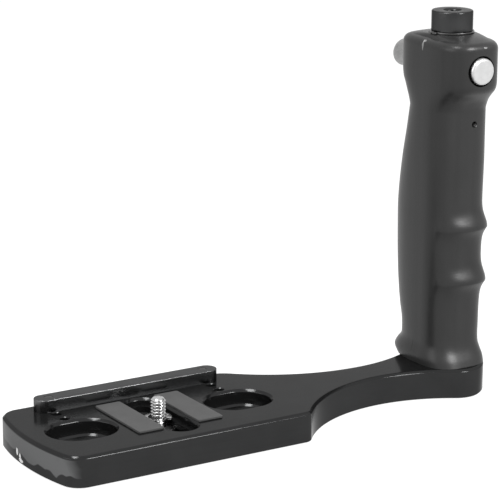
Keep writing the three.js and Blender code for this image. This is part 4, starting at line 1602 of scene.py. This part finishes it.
@dataclass
class Grip:
    """The moulded grip with its finger ridges and head."""

    height: float = 111.0
    half_width: float = 13.3
    front: float = 13.0
    rear: float = 25.4
    squareness: float = 3.0
    ridge_heights: tuple[float, ...] = (36.2, 59.8)
    ridge_rise: float = 3.4
    ridge_upper_spread: float = 5.5
    ridge_lower_spread: float = 3.2
    ridge_upper_power: float = 2.0
    ridge_lower_power: float = 1.25
    ridge_turn: float = 14.0
    ridge_fade_share: float = 0.8
    head_height: float = 26.5
    head_half_width: float = 13.9
    head_front: float = 21.4
    head_rear: float = 21.8
    head_squareness: float = 4.0
    head_front_squareness: float = 3.2
    edge_radius: float = 3.2
    crown_rise: float = 4.9
    mouth_chamfer: float = 0.3
    mouth_lift: float = 0.02
    bush_room: float = 0.12
    screw_room: float = 0.25
    cut_reach: float = 3.0
    level_height: float = 1.0
    head_levels_count: int = 27
    edge_levels_count: int = 9
    crown_levels_count: int = 11
    steps: int = 112
    shares: tuple[tuple[float, ...], ...] = (
        (0, 1.1, 1.3, 0.87),
        (0.025, 1.1, 1.21, 0.985),
        (0.05, 1.05, 1.09, 0.935),
        (0.075, 1, 1.01, 0.83),
        (0.1, 1, 0.97, 0.81),
        (0.15, 1.01, 0.96, 0.82),
        (0.2, 1.02, 0.95, 0.88),
        (0.3, 1.03, 0.97, 0.955),
        (0.4, 1.035, 0.98, 0.995),
        (0.5, 1.035, 0.98, 1.015),
        (0.6, 1.02, 0.985, 1.03),
        (0.7, 1.03, 0.995, 0.975),
        (0.8, 1.04, 1.01, 0.885),
        (0.9, 1.035, 1.01, 0.775),
        (1, 1.035, 1.01, 0.67),
    )
    head_shares: tuple[tuple[float, ...], ...] = (
        (0, 0, 0),
        (0.05, 0.07, 0.06),
        (0.15, 0.25, 0.24),
        (0.24, 0.53, 0.43),
        (0.34, 0.87, 0.63),
        (0.42, 0.98, 0.83),
        (0.55, 1, 0.97),
        (0.72, 1, 1),
        (1, 1, 1),
    )
    edge_shares: tuple[tuple[float, ...], ...] = (
        (0, 0, 0), (0.25, 0.06, 0.32), (0.5, 0.24, 0.64), (0.75, 0.55, 0.89), (1, 1, 1.04),
    )
    crown_shares: tuple[tuple[float, ...], ...] = ((0, 0, 0), (0.3, 0.3, 0.42), (0.65, 0.65, 0.8), (1, 1, 1))

    def __post_init__(self) -> None:
        """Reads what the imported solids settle."""
        post = Extent.of("handle_post")
        self.place = post.centre[:2]
        self.foot = Extent.of("tray_plate").high[2]
        self.post_radius = post.size[0] / 2
        self.ring_radius = Extent.of("grip_snap_ring").size[1] / 2
        self.release = Extent.of("push_rod").centre[2]
        self.bush = Extent.of("button_bush")
        self.nipple = Extent.of("cable_nipple")
        self.screw = Extent.of("grip_set_screw")

    def section(
        self, width: float, front: float, rear: float, front_squareness: float, rear_squareness: float,
    ) -> np.ndarray:
        """A section about the handle's axis: an oval with flattened sides.

        Args:
            width: Its half width.
            front: Its reach to the front.
            rear: Its reach to the rear.
            front_squareness: The power of the front half's curve.
            rear_squareness: The power of the rear half's curve.

        Returns:
            The outline's points.
        """
        unit = circle(1, self.steps)
        forward = unit[:, 1] < 0
        power = np.where(forward, 2 / front_squareness, 2 / rear_squareness)[:, None]
        shaped = np.sign(unit) * np.abs(unit) ** power
        return shaped * np.column_stack((np.full(len(unit), width), np.where(forward, front, rear)))

    def ridged(self, outline: np.ndarray, height: float) -> np.ndarray:
        """Swells the front of a section where it crosses a finger ridge.

        Args:
            outline: The section's points.
            height: Its height above the plate.

        Returns:
            The swollen section.
        """
        rise = 0.0
        for at in self.ridge_heights:
            above = height > at
            spread = self.ridge_upper_spread if above else self.ridge_lower_spread
            power = self.ridge_upper_power if above else self.ridge_lower_power
            rise += math.exp(-(abs(height - at) / spread) ** power)
        middle = math.radians(self.ridge_turn - 90)
        away = np.arctan2(outline[:, 1], outline[:, 0]) - middle
        away = np.abs(np.arctan2(np.sin(away), np.cos(away)))
        facing = np.cos(np.minimum(away * self.ridge_fade_share, 1) * QUARTER)
        length = np.linalg.norm(outline, axis=1)
        return outline * (1 + self.ridge_rise * rise * facing / length)[:, None]

    def grip_levels(self) -> list[Level]:
        """Levels from the plate to the head.

        Returns:
            The outlines with their heights, from the lowest to the highest.
        """
        heights = np.unique(np.append(np.arange(0, self.height, self.level_height), (*self.ridge_heights,)))
        rows = hermite(self.shares, np.append(heights, self.height) / self.height)
        made = []
        for height, (width, front, rear) in zip(np.append(heights, self.height), rows):
            outline = self.section(
                width * self.half_width, front * self.front, rear * self.rear,
                self.squareness, self.squareness,
            )
            made.append((self.ridged(outline, height), self.foot + height))
        return made

    def head_section(self, front_growth: float, rear_growth: float, inset: float = 0.0) -> np.ndarray:
        """A section of the head.

        Args:
            front_growth: The share of the growth from the grip to the head, at the front.
            rear_growth: The same at the rear.
            inset: How far the section lies inside the head's side.

        Returns:
            The outline's points.
        """
        return self.section(*self.head_measures(front_growth, rear_growth, inset))

    def head_measures(self, front_growth: float, rear_growth: float, inset: float) -> tuple[float, ...]:
        """Half width, reaches and squareness of a head section.

        Args:
            front_growth: The share of the growth from the grip to the head, at the front.
            rear_growth: The same at the rear.
            inset: How far the section lies inside the head's side.

        Returns:
            What a section is drawn from, in the order in which it takes them.
        """
        _, width, front, rear = self.shares[-1]

        def between(start: float, end: float, share: float) -> float:
            """A value between two."""
            return start + (end - start) * share

        return (
            between(self.half_width * width, self.head_half_width, front_growth) - inset,
            between(self.front * front, self.head_front, front_growth) - inset,
            between(self.rear * rear, self.head_rear, rear_growth) - inset,
            between(self.squareness, self.head_front_squareness, front_growth),
            between(self.squareness, self.head_squareness, rear_growth),
        )

    @staticmethod
    def rising(count: int) -> np.ndarray:
        """Even shares above 0, up to 1."""
        return np.linspace(0, 1, count + 1)[1:]

    def head_levels(self) -> list[Level]:
        """Levels of the head, its rounded edge and its crown.

        Returns:
            The outlines with their heights, from the lowest to the highest.
        """
        neck = self.foot + self.height
        rim = neck + self.head_height
        shares = self.rising(self.head_levels_count)
        rows = hermite(self.head_shares, shares)
        made = [
            (self.head_section(front, rear), neck + self.head_height * share)
            for share, (front, rear) in zip(shares, rows)
        ]
        for inwards, upwards in hermite(self.edge_shares, self.rising(self.edge_levels_count)):
            inset = self.edge_radius * inwards
            made.append((self.head_section(1, 1, inset), rim + self.edge_radius * upwards))
        start = made[-1][1]
        shoulder = np.array(self.head_measures(1, 1, self.edge_radius))
        seat = np.array((*(self.ring_radius + CLEARANCE,) * 3, ROUND, ROUND))
        for inwards, upwards in hermite(self.crown_shares, self.rising(self.crown_levels_count)):
            measures = shoulder + (seat - shoulder) * inwards
            made.append((self.section(*measures), start + (rim + self.crown_rise - start) * upwards))
        return made

    def build(self) -> None:
        """Makes the grip with the holes that its fittings sit in."""
        shell = loft([*self.grip_levels(), *self.head_levels()]).moved(*self.place)
        body = make("grip_body", shell)
        bush_radius = self.bush.size[0] / 2 + self.bush_room
        bush_front, bush_back = self.bush.low[1], self.bush.high[1] + CLEARANCE
        nipple_radius = self.nipple.size[0] / 2 + CLEARANCE
        x, y = self.place
        across_head = (
            (bush_radius, bush_front - self.cut_reach, bush_back, 96),
            (ROD_HOLE, bush_front, y, 64),
            (nipple_radius, y, y + self.head_rear + self.cut_reach, 64),
        )
        screw_radius = self.screw.size[2] / 2 + self.screw_room
        screw_turn = math.atan2(*(self.screw.centre[:2] - self.place)[::-1])
        seat = self.foot + self.height + self.head_height + self.crown_rise
        bore = self.post_radius + CLEARANCE
        carved(body, [
            lathe([
                (0, self.foot - BEYOND), (bore, self.foot - BEYOND), (bore, seat - self.mouth_chamfer),
                (bore + self.mouth_chamfer, seat + self.mouth_lift),
                (bore + self.mouth_chamfer, seat + BEYOND), (0, seat + BEYOND),
            ]).moved(x, y),
            *(rod(*bore_sizes).along(Axis.Y).moved(x, 0, self.release) for bore_sizes in across_head),
            rod(screw_radius, 0, self.front + self.cut_reach, 32).along(Axis.X).turned(
                Matrix.Rotation(screw_turn, 3, "Z")
            ).moved(x, y, self.screw.centre[2]),
        ])
        finished(body, GRIP_MOULDED, "tray", ["grip"], crease=38)
        dressed("grip_set_screw", BLACK_STEEL)


@dataclass
class ReleaseButton:
    """The silver button with its black bush, spring and rod."""

    wall: float = 1.1
    face: float = 2.4
    dish_shares: Point = (0.72, 0.9)  # where the dished face ends and its rim begins
    dish_depths: tuple[float, ...] = (0.28, 0.08, 0.2, 0.95)  # at the middle, there, there and at the side
    easing: float = 0.5
    bush_easing: float = 0.1
    bush_wall: float = 0.4
    bush_floor: float = 1.2
    spring_radius: float = 3.4
    spring_wire: float = 0.4
    spring_turns: float = 5.5

    def __post_init__(self) -> None:
        """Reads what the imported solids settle."""
        self.button, self.bush = Extent.of("release_button"), Extent.of("button_bush")
        self.spring = Extent.of("button_spring")
        self.place = (self.button.centre[0], 0.0, self.button.centre[2])

    def button_profile(self) -> list[Point]:
        """The button's profile: a slightly dished face in a rounded rim, and a skirt behind it.

        Returns:
            Radius and height of each point, about the piece's own axis.
        """
        radius = self.button.size[0] / 2
        front, back = self.button.low[1], self.button.high[1]
        inner = radius - self.wall
        inside = front + self.face
        middle, dish, rim, side = (front + depth for depth in self.dish_depths)
        dish_end, rim_start = (radius * share for share in self.dish_shares)
        return eased([
            (0, middle), (dish_end, dish), (rim_start, rim), (radius, side), (radius, back), (inner, back),
            (inner, inside), (0, inside),
        ], self.easing, steps=5)

    def bush_profile(self) -> list[Point]:
        """The bush's profile: a cup with a hole for the rod in its floor.

        Returns:
            Radius and height of each point, about the piece's own axis.
        """
        outer = self.bush.size[0] / 2
        inner = outer - self.bush_wall
        front, back = self.bush.low[1], self.bush.high[1]
        floor = back - self.bush_floor
        return eased([
            (ROD_HOLE, floor), (inner, floor), (inner, front), (outer, front), (outer, back),
            (ROD_HOLE, back),
        ], self.bush_easing, True)

    def build(self) -> None:
        """Makes the button, its bush and its spring, and dresses the rod and its clip."""
        centre = tray_point(*self.place)
        face = TurnedFace("button_silver", centre=centre)
        button = make("button_cap", lathe(self.button_profile()).along(Axis.Y).moved(*self.place))
        finished(button, face, "release_button", ["release_button"], crease=45)
        bush = make("bush_body", lathe(self.bush_profile(), True).along(Axis.Y).moved(*self.place))
        finished(bush, BUSH_BLACK, "tray", ["button_bush"])
        length = self.spring.size[1] - 2 * self.spring_wire
        place = across(self.place[0], self.spring.low[1] + self.spring_wire, self.place[2])
        spring = coil().run(
            "spring_wire", place, Turns=self.spring_turns, Radius=self.spring_radius, Height=length,
            Wire=self.spring_wire, Material=DULL_STEEL.material(),
        )
        spring.data.shade_smooth()
        tied(spring, "tray", ["button_spring"])
        travel = next(joint["range_m"][1] for joint in frame["joints"] if joint["name"] == "button_press")
        seat = tray_point(self.place[0], self.spring.high[1], self.place[2])
        1 - travel / (self.spring.size[1] * MM)
        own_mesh(spring)
        dressed("push_rod", BRIGHT_STEEL)
        dressed("push_rod_clip", DULL_STEEL)


@dataclass
class CableSocket:
    """The fitting behind the head: a nipple, and a knurled collar that closes a ring on the cable."""

    bore: float = 3.0
    nipple_bore: float = 4.1
    end_wall: float = 2.0
    ribs: int = 60
    rib_width: float = 0.22
    rib_inset: float = 0.15
    rib_margin: float = 1.2
    front_edge: float = 0.6
    back_edge: float = 0.8
    easing: float = 0.25

    def __post_init__(self) -> None:
        """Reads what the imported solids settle."""
        self.collar = Extent.of("cable_collar")
        self.place = (self.collar.centre[0], 0.0, self.collar.centre[2])

    def build(self) -> None:
        """Makes the collar with its knurl, and dresses the nipple and the ring."""
        radius = self.collar.size[0] / 2 - self.rib_inset
        front, back = self.collar.low[1], self.collar.high[1]
        wall = back - self.end_wall
        body = make("collar_body", lathe(eased([
            (self.nipple_bore, front), (radius - self.front_edge, front), (radius, front + self.front_edge),
            (radius, back - self.back_edge), (radius - self.back_edge, back), (self.bore, back),
            (self.bore, wall), (self.nipple_bore, wall),
        ], self.easing, True), True).along(Axis.Y).moved(*self.place))
        finished(body, COLLAR_GREY, "cable_collar", ["cable_collar"])
        knurl = rib_ring().run(
            "collar_knurl", across(self.place[0], (front + back) / 2, self.place[2]),
            Count=self.ribs, Radius=radius, Length=back - front - 2 * self.rib_margin,
            Width=self.rib_width, Material=COLLAR_GREY.material(),
        )
        tied(knurl, "cable_collar")
        dressed("cable_nipple", SOCKET_BRASS)
        dressed("cable_clamp_ring", BUSH_BLACK)


# The studio


@dataclass(frozen=True)
class Lamp:
    """A soft rectangular lamp that faces a point of the object."""

    name: str
    azimuth: float
    elevation: float
    distance: float
    width: float
    height: float
    power: float

    def light(self, aim: Vector) -> None:
        """Hangs the lamp.

        Args:
            aim: What it faces.
        """
        data = bpy.data.lights.new(self.name, "AREA")
        data.shape = "RECTANGLE"
        data.size, data.size_y = self.width, self.height
        data.energy = self.power
        lamp = added(self.name, data)
        towards = direction(self.azimuth, self.elevation)
        lamp.location = aim + towards * self.distance
        lamp.rotation_euler = towards.to_track_quat("Z", "Y").to_euler()


def direction(azimuth: float, elevation: float) -> Vector:
    """The unit vector from the object to something seen at an azimuth and elevation in degrees.

    Azimuth 0 is in front of the object, on its -Y side, and grows towards +X.
    """
    a, e = math.radians(azimuth), math.radians(elevation)
    return Vector((math.sin(a) * math.cos(e), -math.cos(a) * math.cos(e), math.sin(e)))


def shown_apart(
    nodes: Nodes, lights: bpy.types.NodeSocket, shows: bpy.types.NodeSocket, output: str,
) -> None:
    """Ends a tree with one shader that lights the object and another that is seen.

    Args:
        nodes: The floor's or the room's nodes.
        lights: The shader that diffuse light comes from.
        shows: The shader that the camera, reflections and transmission see.
        output: The name of the tree's output node.
    """
    rays = nodes.node("ShaderNodeLightPath").outputs
    seen = nodes.math("MAXIMUM", rays["Is Camera Ray"], rays["Is Glossy Ray"])
    seen = nodes.math("MAXIMUM", seen, rays["Is Transmission Ray"])
    pick = nodes.node("ShaderNodeMixShader", None, seen, lights, shows)
    nodes.feed(nodes.tree.nodes[output].inputs[0], pick.outputs[0])


@dataclass
class Studio:
    """Floor, lamps, world and camera."""

    azimuth: float = -31.81
    elevation: float = 14.90
    roll: float = 0.303
    distance: float = 0.90984
    focal_pixels: float = 2324.4
    aim: tuple[float, float, float] = (26.93, 5.49, 82.6)
    floor_half: float = 4.0
    floor_drop: float = 0.0003
    view_depths: Point = (0.05, 20.0)
    floor_level: float = 0.22
    floor_roughness: float = 0.9
    floor_glow: float = 0.88
    room_light: float = 0.5
    lamps: tuple[Lamp, ...] = (
        Lamp("key", 26.0, 36.0, 1.0, 0.35, 0.4, 13.0),
        Lamp("side", -98.0, 22.0, 1.2, 0.9, 0.7, 5.0),
        Lamp("fill", -86.0, 68.0, 1.0, 0.35, 0.35, 6.0),
    )

    def build(self) -> None:
        """Sets up everything round the object."""
        self.build_camera()
        self.build_floor()
        self.build_world()
        aim = Vector(tray_point(*self.aim))
        for lamp in self.lamps:
            lamp.light(aim)
        bpy.context.scene.view_settings.view_transform = "Standard"

    def build_camera(self) -> None:
        """Places the camera where the picture was taken from."""
        data = bpy.data.cameras.new("camera")
        data.sensor_width = SENSOR_WIDTH
        data.lens = self.focal_pixels / PHOTO_SIDE * SENSOR_WIDTH
        data.clip_start, data.clip_end = self.view_depths
        camera = added("camera", data)
        back = direction(self.azimuth, self.elevation)
        look = back.to_track_quat("Z", "Y").to_matrix().to_4x4()
        turn = Matrix.Rotation(math.radians(self.roll), 4, "Z")
        aim = Vector(tray_point(*self.aim))
        camera.matrix_world = Matrix.Translation(aim + back * self.distance) @ look @ turn
        bpy.context.scene.camera = camera

    def build_floor(self) -> None:
        """Lays the grey floor, which shows as white and keeps the object's shadow."""
        half = self.floor_half
        mesh = bpy.data.meshes.new("floor")
        corners = [(-half, -half), (half, -half), (half, half), (-half, half)]
        mesh.from_pydata([(x, y, -self.floor_drop) for x, y in corners], [], [(0, 1, 2, 3)])
        floor = added("floor", mesh)
        paper = Graph("floor_paper")
        paper.say(
            Base_Color=grey(self.floor_level), Roughness=self.floor_roughness, Specular_IOR_Level=0.0,
        )
        plain = paper.shader.outputs[0]
        glow = paper.node("ShaderNodeEmission", Strength=self.floor_glow)
        both = paper.node("ShaderNodeAddShader", None, plain, glow.outputs[0])
        shown_apart(paper, plain, both.outputs[0], "Material Output")
        mesh.materials.append(paper.material)

    def build_world(self) -> None:
        """Lights the room softly, and shows it white to the camera and in reflections."""
        world = bpy.data.worlds.new("room")
        world.use_nodes = True
        room = Nodes(world.node_tree)
        soft = room.tree.nodes["Background"]
        room.fill(soft, Color=grey(1.0), Strength=self.room_light)
        white = room.node("ShaderNodeBackground", Color=grey(1.0), Strength=1.0)
        shown_apart(room, soft.outputs[0], white.outputs[0], "World Output")
        bpy.context.scene.world = world


def main() -> None:
    """Builds the classes in order."""
    logging.basicConfig(level=logging.INFO, format="%(name)s: %(message)s")
    Studio().build()
    for part in (
        TrayPlate(), BackstopRail(), Pads(), CameraScrew(),
        HandlePost(), Grip(), ReleaseButton(), CableSocket(),
    ):
        part.build()
        LOG.info("%s is done", type(part).__name__)


if __name__ == "__main__":
    main()
